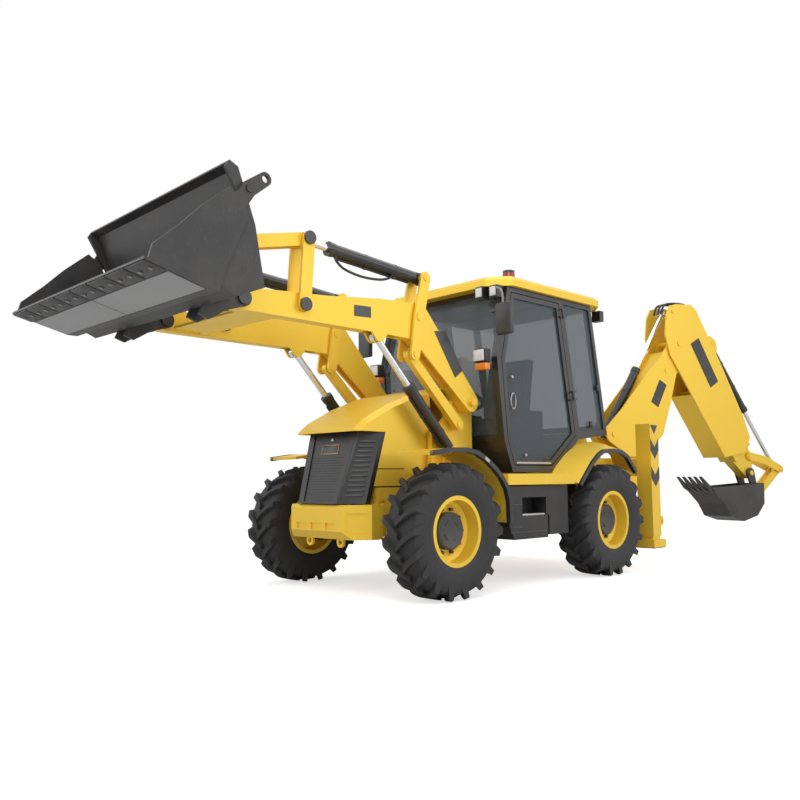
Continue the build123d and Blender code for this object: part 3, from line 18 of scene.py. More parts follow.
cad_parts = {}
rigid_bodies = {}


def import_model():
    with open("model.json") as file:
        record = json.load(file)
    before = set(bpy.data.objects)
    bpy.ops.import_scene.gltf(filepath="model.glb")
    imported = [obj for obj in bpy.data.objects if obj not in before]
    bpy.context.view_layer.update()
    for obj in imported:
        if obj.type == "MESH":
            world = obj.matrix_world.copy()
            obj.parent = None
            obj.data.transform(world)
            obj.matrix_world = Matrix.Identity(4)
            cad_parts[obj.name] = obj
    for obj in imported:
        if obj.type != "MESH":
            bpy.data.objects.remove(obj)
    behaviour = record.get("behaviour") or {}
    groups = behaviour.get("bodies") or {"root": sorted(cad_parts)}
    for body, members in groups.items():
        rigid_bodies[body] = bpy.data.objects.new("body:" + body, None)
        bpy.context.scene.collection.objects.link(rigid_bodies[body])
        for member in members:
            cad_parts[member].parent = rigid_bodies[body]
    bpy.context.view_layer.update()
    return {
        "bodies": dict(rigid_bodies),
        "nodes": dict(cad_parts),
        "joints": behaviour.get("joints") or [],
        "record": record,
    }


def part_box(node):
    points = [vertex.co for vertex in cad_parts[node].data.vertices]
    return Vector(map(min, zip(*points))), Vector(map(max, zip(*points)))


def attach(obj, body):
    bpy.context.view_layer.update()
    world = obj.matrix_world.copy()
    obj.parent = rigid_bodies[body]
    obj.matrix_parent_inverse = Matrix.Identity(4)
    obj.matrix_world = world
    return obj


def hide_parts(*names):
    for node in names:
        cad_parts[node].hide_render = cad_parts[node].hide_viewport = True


LOG = logging.getLogger("backhoe_loader")
ROOT = "machine"
Point = tuple[float, float]
Place = tuple[float, float, float]
Colour = tuple[float, float, float]
Ram = tuple[Point, Point, float]

# Foot and rod pin (behind the front axle, height) and length to the gland.
LIFT_RAM: Ram = ((0.445, 1.054), (-0.351, 1.885), 0.680)
CROWD_RAM: Ram = ((0.102, 2.381), (-1.014, 2.468), 0.905)


# ---------------------------------------------------------------- shader effects
class Tree:
    """A short way to add linked nodes to a shader or geometry tree."""

    def __init__(self, tree: bpy.types.NodeTree) -> None:
        """Keep the tree that nodes go into.

        Args:
            tree: The node tree to fill.
        """
        self.tree = tree

    def add(self, kind: str, inputs: Optional[dict] = None, **settings) -> bpy.types.Node:
        """Add one node, set its fields and fill its inputs.

        Args:
            kind: The node's type name.
            inputs: Input name or index to a value or to another node's output socket.
            **settings: Fields set on the node before its inputs.

        Returns:
            The new node.
        """
        node = self.tree.nodes.new(kind)
        for name, value in settings.items():
            setattr(node, name, value)
        for key, value in (inputs or {}).items():
            socket = node.inputs[key]
            if isinstance(value, bpy.types.NodeSocket):
                self.tree.links.new(value, socket)
            else:
                socket.default_value = value
        return node

    def math(self, operation: str, first, second=0.0, clamp: bool = False) -> bpy.types.NodeSocket:
        """Add a Math node.

        Args:
            operation: The node's operation.
            first: Value or socket.
            second: Value or socket.
            clamp: True to keep the result between 0 and 1.

        Returns:
            The result socket.
        """
        node = self.add("ShaderNodeMath", {0: first, 1: second}, operation=operation, use_clamp=clamp)
        return node.outputs[0]

    def mix(self, factor, first, second) -> bpy.types.NodeSocket:
        """Mix two colours.

        Args:
            factor: Value or socket, 0 for the first colour.
            first: Colour or socket.
            second: Colour or socket.

        Returns:
            The mixed colour's socket.
        """
        node = self.add("ShaderNodeMix", data_type="RGBA")
        for socket, value in zip((node.inputs[0], node.inputs[6], node.inputs[7]),
                                 (factor, first, second)):
            if isinstance(value, bpy.types.NodeSocket):
                self.tree.links.new(value, socket)
            elif isinstance(value, tuple):
                socket.default_value = (*value[:3], 1.0)
            else:
                socket.default_value = value
        return node.outputs[2]


def interface(tree: bpy.types.NodeTree, inputs: Sequence[tuple], outputs: Sequence[tuple]) -> None:
    """Give a node group its named sockets.

    Args:
        tree: The group.
        inputs: Name, socket type and default value of each input.
        outputs: Name and socket type of each output.
    """
    for name, kind, value in inputs:
        socket = tree.interface.new_socket(name, in_out="INPUT", socket_type=kind)
        if value is not None:
            socket.default_value = value
    for name, kind in outputs:
        tree.interface.new_socket(name, in_out="OUTPUT", socket_type=kind)


def wear_group() -> bpy.types.NodeTree:
    """Build the shared surface effect: uneven tone, dust in patches, scuffs and fine grain.

    Returns:
        The node group, the same one each time.
    """
    found = bpy.data.node_groups.get("surface_wear")
    if found:
        return found
    group = bpy.data.node_groups.new("surface_wear", "ShaderNodeTree")
    interface(group, [
        ("Colour", "NodeSocketColor", (0.5, 0.5, 0.5, 1)),
        ("Dust Colour", "NodeSocketColor", (0.3, 0.27, 0.22, 1)),
        ("Scuff Colour", "NodeSocketColor", (0.3, 0.3, 0.3, 1)),
        ("Dust", "NodeSocketFloat", 0.1),
        ("Scuff", "NodeSocketFloat", 0.0),
        ("Roughness", "NodeSocketFloat", 0.4),
        ("Grain Size", "NodeSocketFloat", 400.0),
        ("Patch Size", "NodeSocketFloat", 4.0),
    ], [("Colour", "NodeSocketColor"), ("Roughness", "NodeSocketFloat"),
        ("Height", "NodeSocketFloat")])
    make = Tree(group)
    given = make.add("NodeGroupInput").outputs
    where = make.add("ShaderNodeTexCoord").outputs["Object"]
    patch = make.add("ShaderNodeTexNoise", {"Vector": where, "Scale": given["Patch Size"],
                                            "Detail": 5.0, "Roughness": 0.6}).outputs["Fac"]
    grain = make.add("ShaderNodeTexNoise", {"Vector": where, "Scale": given["Grain Size"],
                                            "Detail": 3.0}).outputs["Fac"]
    stretched = make.add("ShaderNodeMapping", {"Vector": where, "Scale": (9.0, 55.0, 14.0)})
    streak = make.add("ShaderNodeTexNoise", {"Vector": stretched.outputs[0], "Scale": 1.6,
                                             "Detail": 8.0, "Roughness": 0.75}).outputs["Fac"]
    dusty = make.math("MULTIPLY", make.math("SUBTRACT", patch, 0.42), 3.2, clamp=True)
    dusty = make.math("MULTIPLY", dusty, given["Dust"], clamp=True)
    scuffed = make.math("MULTIPLY", make.math("SUBTRACT", streak, 0.56), 7.0, clamp=True)
    scuffed = make.math("MULTIPLY", scuffed, given["Scuff"], clamp=True)
    tone = make.math("ADD", make.math("MULTIPLY", grain, 0.10), 0.95)
    toned = make.add("ShaderNodeVectorMath", {0: given["Colour"], 3: tone}, operation="SCALE")
    colour = make.mix(dusty, toned.outputs[0], given["Dust Colour"])
    colour = make.mix(scuffed, colour, given["Scuff Colour"])
    rough = make.math("ADD", given["Roughness"], make.math("MULTIPLY", dusty, 0.5), clamp=True)
    rough = make.math("ADD", rough, make.math("MULTIPLY", make.math("SUBTRACT", grain, 0.5), 0.12),
                      clamp=True)
    height = make.math("ADD", grain, make.math("MULTIPLY", scuffed, -0.5))
    make.add("NodeGroupOutput", {"Colour": colour, "Roughness": rough, "Height": height})
    return group


@dataclass(frozen=True)
class Finish:
    """One opaque finish: a coated or bare surface with its own wear.

    Attributes:
        name: The material's name.
        colour: Base colour.
        roughness: Base roughness.
        metallic: 1 for bare metal.
        coat: Clear coat weight.
        dust: How much dust lies in patches.
        scuff: How much is rubbed to the scuff colour.
        scuff_colour: What shows where it is rubbed.
        dust_colour: The dust's colour.
        grain_size: Fineness of the grain.
        patch_size: Fineness of the dust patches.
        bump: Height of the grain, in metres.
    """

    name: str
    colour: Colour
    roughness: float = 0.35
    metallic: float = 0.0
    coat: float = 0.0
    dust: float = 0.1
    scuff: float = 0.0
    scuff_colour: Colour = (0.3, 0.3, 0.3)
    dust_colour: Colour = (0.32, 0.27, 0.2)
    grain_size: float = 420.0
    patch_size: float = 3.0
    bump: float = 0.0004

    def material(self) -> bpy.types.Material:
        """Build the material once.

        Returns:
            The material with this finish's name.
        """
        found = bpy.data.materials.get(self.name)
        if found:
            return found
        made = bpy.data.materials.new(self.name)
        made.use_nodes = True
        make = Tree(made.node_tree)
        shader = made.node_tree.nodes["Principled BSDF"]
        wear = make.add("ShaderNodeGroup", node_tree=wear_group())
        for key, value in {"Colour": (*self.colour, 1), "Dust Colour": (*self.dust_colour, 1),
                           "Scuff Colour": (*self.scuff_colour, 1), "Dust": self.dust,
                           "Scuff": self.scuff, "Roughness": self.roughness,
                           "Grain Size": self.grain_size, "Patch Size": self.patch_size}.items():
            wear.inputs[key].default_value = value
        bump = make.add("ShaderNodeBump", {"Height": wear.outputs["Height"], "Strength": 0.5,
                                           "Distance": self.bump})
        links = made.node_tree.links
        links.new(wear.outputs["Colour"], shader.inputs["Base Color"])
        links.new(wear.outputs["Roughness"], shader.inputs["Roughness"])
        links.new(bump.outputs[0], shader.inputs["Normal"])
        shader.inputs["Metallic"].default_value = self.metallic
        shader.inputs["Coat Weight"].default_value = self.coat
        shader.inputs["Coat Roughness"].default_value = 0.12
        made.diffuse_color = (*self.colour, 1)
        return made


@dataclass(frozen=True)
class Glass:
    """A tinted pane or a moulded lens.

    Attributes:
        name: The material's name.
        colour: Tint.
        roughness: Surface roughness.
        alpha: 1 for a lens, less for a pane that is seen through.
        transmission: Transmission weight.
        glow: Strength of a faint inner light, for a lens.
    """

    name: str
    colour: Colour
    roughness: float = 0.04
    alpha: float = 0.5
    transmission: float = 0.0
    glow: float = 0.0

    def material(self) -> bpy.types.Material:
        """Build the material once.

        Returns:
            The material with this finish's name.
        """
        found = bpy.data.materials.get(self.name)
        if found:
            return found
        made = bpy.data.materials.new(self.name)
        made.use_nodes = True
        make = Tree(made.node_tree)
        shader = made.node_tree.nodes["Principled BSDF"]
        where = make.add("ShaderNodeTexCoord").outputs["Object"]
        haze = make.add("ShaderNodeTexNoise", {"Vector": where, "Scale": 7.0, "Detail": 4.0})
        rough = make.math("ADD", self.roughness,
                          make.math("MULTIPLY", haze.outputs["Fac"], 0.06), clamp=True)
        links = made.node_tree.links
        links.new(rough, shader.inputs["Roughness"])
        shader.inputs["Base Color"].default_value = (*self.colour, 1)
        shader.inputs["Alpha"].default_value = self.alpha
        shader.inputs["Transmission Weight"].default_value = self.transmission
        shader.inputs["Emission Color"].default_value = (*self.colour, 1)
        shader.inputs["Emission Strength"].default_value = self.glow
        made.surface_render_method = "BLENDED" if self.alpha < 1 else "DITHERED"
        made.diffuse_color = (*self.colour, self.alpha)
        return made


class Finishes:
    """Every finish of the machine, by plain name."""

    yellow = Finish("yellow_paint", (0.93, 0.29, 0.0015), 0.30, coat=0.45, dust=0.04)
    black = Finish("black_paint", (0.010, 0.010, 0.011), 0.38, coat=0.2, dust=0.08)
    grille = Finish("grille_plastic", (0.010, 0.010, 0.011), 0.42, dust=0.06, grain_size=700.0)
    cab = Finish("cab_grey_paint", (0.014, 0.0145, 0.016), 0.34, coat=0.3, dust=0.06)
    charcoal = Finish("shovel_charcoal", (0.026, 0.026, 0.028), 0.46, dust=0.12, scuff=0.25,
                      scuff_colour=(0.16, 0.16, 0.17), bump=0.0008)
    edge = Finish("worn_steel_edge", (0.2, 0.2, 0.21), 0.42, metallic=0.5, dust=0.2, scuff=0.6,
                  scuff_colour=(0.42, 0.42, 0.43), bump=0.0008)
    chrome = Finish("rod_chrome", (0.72, 0.73, 0.75), 0.12, metallic=1.0, dust=0.02, bump=0.0001)
    steel = Finish("zinc_steel", (0.42, 0.42, 0.44), 0.35, metallic=0.9, dust=0.1)
    rubber = Finish("tyre_rubber", (0.019, 0.019, 0.020), 0.62, dust=0.22,
                    dust_colour=(0.08, 0.075, 0.07), bump=0.001, grain_size=260.0)
    hose = Finish("hose_rubber", (0.014, 0.014, 0.015), 0.42, dust=0.06, grain_size=600.0)
    plastic = Finish("black_plastic", (0.014, 0.014, 0.015), 0.5, dust=0.08, grain_size=900.0)
    hub = Finish("hub_grey", (0.05, 0.05, 0.052), 0.42, metallic=0.2, dust=0.1)
    seat = Finish("seat_cloth", (0.035, 0.035, 0.04), 0.85, dust=0.05, grain_size=1400.0,
                  bump=0.0012)
    casting = Finish("engine_casting", (0.06, 0.06, 0.063), 0.5, metallic=0.2, dust=0.3)
    pane = Glass("tinted_glass", (0.03, 0.035, 0.036), alpha=0.5)
    lamp = Glass("lamp_glass", (0.75, 0.77, 0.8), alpha=1.0, roughness=0.1)
    amber = Glass("beacon_lens", (0.32, 0.04, 0.015), alpha=1.0, roughness=0.12, glow=0.1)
    orange = Glass("orange_lens", (0.9, 0.25, 0.02), alpha=1.0, roughness=0.12)
    red = Glass("red_lens", (0.5, 0.02, 0.015), alpha=1.0, roughness=0.12)
    gold = Finish("badge_gold", (0.45, 0.3, 0.08), 0.35, metallic=0.6, dust=0.05)
    flank = Finish("flank_grey", (0.045, 0.046, 0.048), 0.4, dust=0.05)
    pale = Finish("pale_trim", (0.55, 0.55, 0.55), 0.4, dust=0.08)
    lip = Finish("wing_lip_grey", (0.022, 0.023, 0.024), 0.45, dust=0.1)
    # Pale grey of the panels under the shovel, made lighter to paint in light that reaches them from
    # below: painted light on a grey plate.
    shovel_grey_and_underlight = Finish("shovel_underside", (0.27, 0.275, 0.28), 0.45, dust=0.12, scuff=0.35,
                         scuff_colour=(0.3, 0.3, 0.31), bump=0.0006)
    mirror = Glass("mirror_glass", (0.35, 0.37, 0.4), alpha=1.0, roughness=0.05)


# ---------------------------------------------------------------- shapes
class Side(Enum):
    """The two sides of the machine."""

    LEFT = 1
    RIGHT = -1


def smooth_path(points: Sequence[Vector], steps: int = 6) -> list[Vector]:
    """Run a smooth line through points.

    Args:
        points: The points it passes.
        steps: Divisions between two neighbouring points.

    Returns:
        The points of the line.
    """
    ends = [2 * points[0] - points[1], *points, 2 * points[-1] - points[-2]]
    line = []
    for before, start, end, after in zip(ends, ends[1:], ends[2:], ends[3:]):
        for step in range(steps):
            part = step / steps
            line.append(0.5 * (2 * start + (end - before) * part
                               + (2 * before - 5 * start + 4 * end - after) * part ** 2
                               + (3 * start - before - 3 * end + after) * part ** 3))
    return line + [points[-1].copy()]


class Form:
    """A mesh put together from closed solids, in the model's frame."""

    def __init__(self) -> None:
        """Start an empty mesh."""
        self.bm = bmesh.new()

    def loft(self, rings: Sequence[Sequence[Vector]], closed: bool = False,
             bevel: float = 0.0) -> None:
        """Skin a run of rings.

        Args:
            rings: Rings with the same number of points.
            closed: True where the last ring meets the first.
            bevel: Size of the rounding on every edge, for a plain solid.
        """
        rows = [[self.bm.verts.new(point) for point in ring] for ring in rings]
        pairs = list(zip(rows, rows[1:])) + ([(rows[-1], rows[0])] if closed else [])
        faces = []
        for first, second in pairs:
            count = len(first)
            for index in range(count):
                after = (index + 1) % count
                faces.append(self.bm.faces.new((first[index], first[after], second[after],
                                                second[index])))
        if not closed:
            faces += [self.bm.faces.new(rows[0]), self.bm.faces.new(rows[-1])]
        if bevel:
            edges = list({edge for face in faces for edge in face.edges})
            bmesh.ops.bevel(self.bm, geom=edges, offset=bevel, segments=2, affect="EDGES",
                            profile=0.5)

    def prism(self, outline: Sequence[Vector], along: Vector, bevel: float = 0.0) -> None:
        """Push an outline along a direction.

        Args:
            outline: Corners of one end.
            along: From that end to the other.
            bevel: Size of the rounding on its edges.
        """
        self.loft([outline, [point + along for point in outline]], bevel=bevel)

    def box(self, low: Sequence[float], high: Sequence[float], bevel: float = 0.0) -> None:
        """Add a box with rounded edges.

        Args:
            low: Lowest corner.
            high: Highest corner.
            bevel: Size of the rounding.
        """
        self.prism([Vector((x, y, low[2])) for x, y in (
            (low[0], low[1]), (high[0], low[1]), (high[0], high[1]), (low[0], high[1]))],
            Vector((0, 0, high[2] - low[2])), bevel)

    def turned(self, profile: Sequence[Point], centre: Vector, axis: Vector,
               sides: int = 32, closed: bool = False) -> None:
        """Turn a profile round an axis.

        Args:
            profile: Distances along the axis and from it.
            centre: Where the axis starts.
            axis: The axis' direction.
            sides: Number of facets.
            closed: True where the profile is a closed section.
        """
        axis = axis.normalized()
        first = axis.orthogonal().normalized()
        second = axis.cross(first)
        rings = []
        for along, radius in profile:
            rings.append([centre + axis * along
                          + radius * (math.cos(turn) * first + math.sin(turn) * second)
                          for turn in (2 * math.pi * step / sides for step in range(sides))])
        self.loft(rings, closed=closed)

    def tube(self, points: Sequence[Vector], radius: float, sides: int = 12,
             steps: int = 6) -> None:
        """Draw a round tube through points.

        Args:
            points: The points it passes.
            radius: The tube's radius.
            sides: Facets round the tube.
            steps: Divisions between two points, 0 for straight runs.
        """
        line = smooth_path(points, steps) if steps else list(points)
        normal = (line[1] - line[0]).orthogonal().normalized()
        rings = []
        for index, point in enumerate(line):
            run = (line[min(index + 1, len(line) - 1)] - line[max(index - 1, 0)]).normalized()
            normal = (normal - run * normal.dot(run)).normalized()
            side = run.cross(normal)
            rings.append([point + radius * (math.cos(turn) * normal + math.sin(turn) * side)
                          for turn in (2 * math.pi * step / sides for step in range(sides))])
        self.loft(rings)

    def band(self, path: Sequence[Point], low: float, high: float, inner: float,
             outer: float, hand: int) -> None:
        """Add a bar with a rectangular section that follows a path in a side plane.

        Args:
            path: Places (y, z) along the bar.
            low: Inboard place from the middle plane.
            high: Outboard place from the middle plane.
            inner: Depth on one side of the path.
            outer: Height on its other side.
            hand: 1 for the left side, -1 for the right.
        """
        rings = []
        for index, (y, z) in enumerate(path):
            before, after = path[max(index - 1, 0)], path[min(index + 1, len(path) - 1)]
            run = Vector((0, after[0] - before[0], after[1] - before[1])).normalized()
            up = Vector((0, -run.z, run.y))
            point = Vector((0, y, z))
            rings.append([point + up * lift + Vector((hand * x, 0, 0)) for x, lift in (
                (low, -inner), (high, -inner), (high, outer), (low, outer))])
        self.loft(rings)

    def mesh(self, name: str, crease: float = 35.0) -> bpy.types.Mesh:
        """Close the mesh, with its faces turned outwards.

        Args:
            name: The mesh's name.
            crease: Angle in degrees past which an edge stays sharp.

        Returns:
            The mesh.
        """
        bmesh.ops.recalc_face_normals(self.bm, faces=self.bm.faces)
        made = bpy.data.meshes.new(name)
        self.bm.to_mesh(made)
        self.bm.free()
        made.polygons.foreach_set("use_smooth", [True] * len(made.polygons))
        made.set_sharp_from_angle(angle=math.radians(crease))
        return made

    def piece(self, name: str, body: str, finish: object, slot: str) -> bpy.types.Object:
        """Make the mesh a piece of the scene, with its name, body and finish."""
        return place_piece(name, self.mesh(name), body, finish)


def place_piece(name: str, mesh: bpy.types.Mesh, body: str, finish: object,
                instead_of: Sequence[str] = ()) -> bpy.types.Object:
    """Put a mesh into the scene as a piece of the machine.

    Args:
        name: The piece's name.
        mesh: Its mesh.
        body: The body that it moves with.
        finish: Its Finish or Glass.
        instead_of: Solids that it stands for.

    Returns:
        The piece.
    """
    if not mesh.materials:
        mesh.materials.append(finish.material())
    piece = bpy.data.objects.new(name, mesh)
    bpy.context.scene.collection.objects.link(piece)
    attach(piece, body)
    if instead_of:
        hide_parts(*instead_of)
    LOG.info("%s: %d faces", name, len(mesh.polygons))
    return piece


class Repeats:
    """Geometry Nodes trees that repeat a part, and the meshes they make."""

    @staticmethod
    def ring() -> bpy.types.NodeTree:
        """Build the tree that repeats a part round the X axis.

        Returns:
            The tree, the same one each time.
        """
        found = bpy.data.node_groups.get("repeat_round_axis")
        if found:
            return found
        tree = bpy.data.node_groups.new("repeat_round_axis", "GeometryNodeTree")
        tree.interface.new_socket("Part", in_out="INPUT", socket_type="NodeSocketGeometry")
        interface(tree, [("Count", "NodeSocketInt", 18), ("Step", "NodeSocketFloat", 0.35),
                         ("Start", "NodeSocketFloat", 0.0)], [])
        tree.interface.new_socket("Finish", in_out="INPUT", socket_type="NodeSocketMaterial")
        tree.interface.new_socket("Ring", in_out="OUTPUT", socket_type="NodeSocketGeometry")
        make = Tree(tree)
        given = make.add("NodeGroupInput").outputs
        spots = make.add("GeometryNodeMeshLine", {"Count": given["Count"], "Offset": (0, 0, 0)},
                         mode="OFFSET").outputs[0]
        index = make.add("GeometryNodeInputIndex").outputs[0]
        angle = make.math("ADD", make.math("MULTIPLY", index, given["Step"]), given["Start"])
        turn = make.add("ShaderNodeCombineXYZ", {"X": angle}).outputs[0]
        turn = make.add("FunctionNodeEulerToRotation", {0: turn}).outputs[0]
        copies = make.add("GeometryNodeInstanceOnPoints", {
            "Points": spots, "Instance": given["Part"], "Rotation": turn}).outputs[0]
        real = make.add("GeometryNodeRealizeInstances", {0: copies}).outputs[0]
        done = make.add("GeometryNodeSetMaterial", {"Geometry": real,
                                                    "Material": given["Finish"]}).outputs[0]
        make.add("NodeGroupOutput", {"Ring": done})
        return tree

    @staticmethod
    def studs() -> bpy.types.NodeTree:
        """Build the tree that sets a hexagon head on each point.

        Returns:
            The tree, the same one each time.
        """
        found = bpy.data.node_groups.get("heads_on_points")
        if found:
            return found
        tree = bpy.data.node_groups.new("heads_on_points", "GeometryNodeTree")
        tree.interface.new_socket("Places", in_out="INPUT", socket_type="NodeSocketGeometry")
        interface(tree, [("Radius", "NodeSocketFloat", 0.01), ("Height", "NodeSocketFloat", 0.01),
                         ("Turn", "NodeSocketVector", (0, 0, 0))], [])
        tree.interface.new_socket("Finish", in_out="INPUT", socket_type="NodeSocketMaterial")
        tree.interface.new_socket("Heads", in_out="OUTPUT", socket_type="NodeSocketGeometry")
        make = Tree(tree)
        given = make.add("NodeGroupInput").outputs
        head = make.add("GeometryNodeMeshCylinder", {
            "Vertices": 6, "Radius": given["Radius"], "Depth": given["Height"]}).outputs["Mesh"]
        turn = make.add("FunctionNodeEulerToRotation", {0: given["Turn"]}).outputs[0]
        copies = make.add("GeometryNodeInstanceOnPoints", {
            "Points": given["Places"], "Instance": head, "Rotation": turn}).outputs[0]
        real = make.add("GeometryNodeRealizeInstances", {0: copies}).outputs[0]
        done = make.add("GeometryNodeSetMaterial", {"Geometry": real,
                                                    "Material": given["Finish"]}).outputs[0]
        make.add("NodeGroupOutput", {"Heads": done})
        return tree

    @staticmethod
    def grow(name: str, source: bpy.types.Mesh, tree: bpy.types.NodeTree,
             values: dict[str, object]) -> bpy.types.Mesh:
        """Run a tree on a mesh and keep the plain mesh it makes.

        Args:
            name: The new mesh's name.
            source: The mesh that the tree starts from.
            tree: The tree.
            values: Value of each named input.

        Returns:
            The new mesh.
        """
        holder = bpy.data.objects.new(f"{name}_source", source)
        bpy.context.scene.collection.objects.link(holder)
        modifier = holder.modifiers.new("repeat", "NODES")
        modifier.node_group = tree
        sockets = {item.name: item.identifier for item in tree.interface.items_tree
                   if item.in_out == "INPUT"}
        for label, value in values.items():
            modifier[sockets[label]] = value
        graph = bpy.context.evaluated_depsgraph_get()
        made = bpy.data.meshes.new_from_object(holder.evaluated_get(graph), depsgraph=graph)
        made.name = name
        bpy.data.objects.remove(holder)
        return made

    @classmethod
    def heads(cls, name: str, places: Sequence[Vector], facing: Vector, radius: float,
              height: float, finish: Finish) -> bpy.types.Mesh:
        """Set bolt heads on places.

        Args:
            name: The mesh's name.
            places: Middle of each head.
            facing: The way the heads point.
            radius: Head radius.
            height: Head height.
            finish: The heads' finish.

        Returns:
            The mesh of all heads.
        """
        dots = bpy.data.meshes.new(f"{name}_places")
        dots.from_pydata([tuple(place) for place in places], [], [])
        turn = facing.to_track_quat("Z", "Y").to_euler()
        return cls.grow(name, dots, cls.studs(), {
            "Radius": radius, "Height": height, "Turn": tuple(turn),
            "Finish": finish.material()})


@dataclass(frozen=True)
class Layout:
    """Places of the machine's pins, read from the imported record.

    Attributes:
        pins: Place of each joint that has one.
    """

    pins: dict[str, Vector]

    @classmethod
    def read(cls, record: dict) -> "Layout":
        """Read the pins' places.

        Args:
            record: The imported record.

        Returns:
            The layout.
        """
        joints = record["behaviour"]["joints"]
        return cls({joint["name"]: Vector(joint["pos_m"]) for joint in joints
                    if joint.get("pos_m")})

    def front(self, y: float, z: float, x: float = 0.0) -> Vector:
        """Place from the front axle: distance behind it, height and distance to the left."""
        return Vector((x, self.pins["wheel_front_left_spin"].y + y, z))

    def hoe(self, out: float, z: float, aside: float = 0.0) -> Vector:
        """Find a place on the backhoe.

        Args:
            out: Distance from its slewing pin along the arm's plane.
            z: Height above the ground.
            aside: Distance to the arm's left.

        Returns:
            The place.
        """
        pivot = self.pins["slew"]
        run = self.pins["dipper_swing"] - self.pins["boom_swing"]
        run = Vector((run.x, run.y, 0)).normalized()
        return Vector((pivot.x + out * run.x + aside * run.y,
                       pivot.y + out * run.y - aside * run.x, z))

    def hoe_left(self) -> Vector:
        """Direction square to the backhoe's arm plane, to its left."""
        return self.hoe(0, 0, 1) - self.hoe(0, 0, 0)


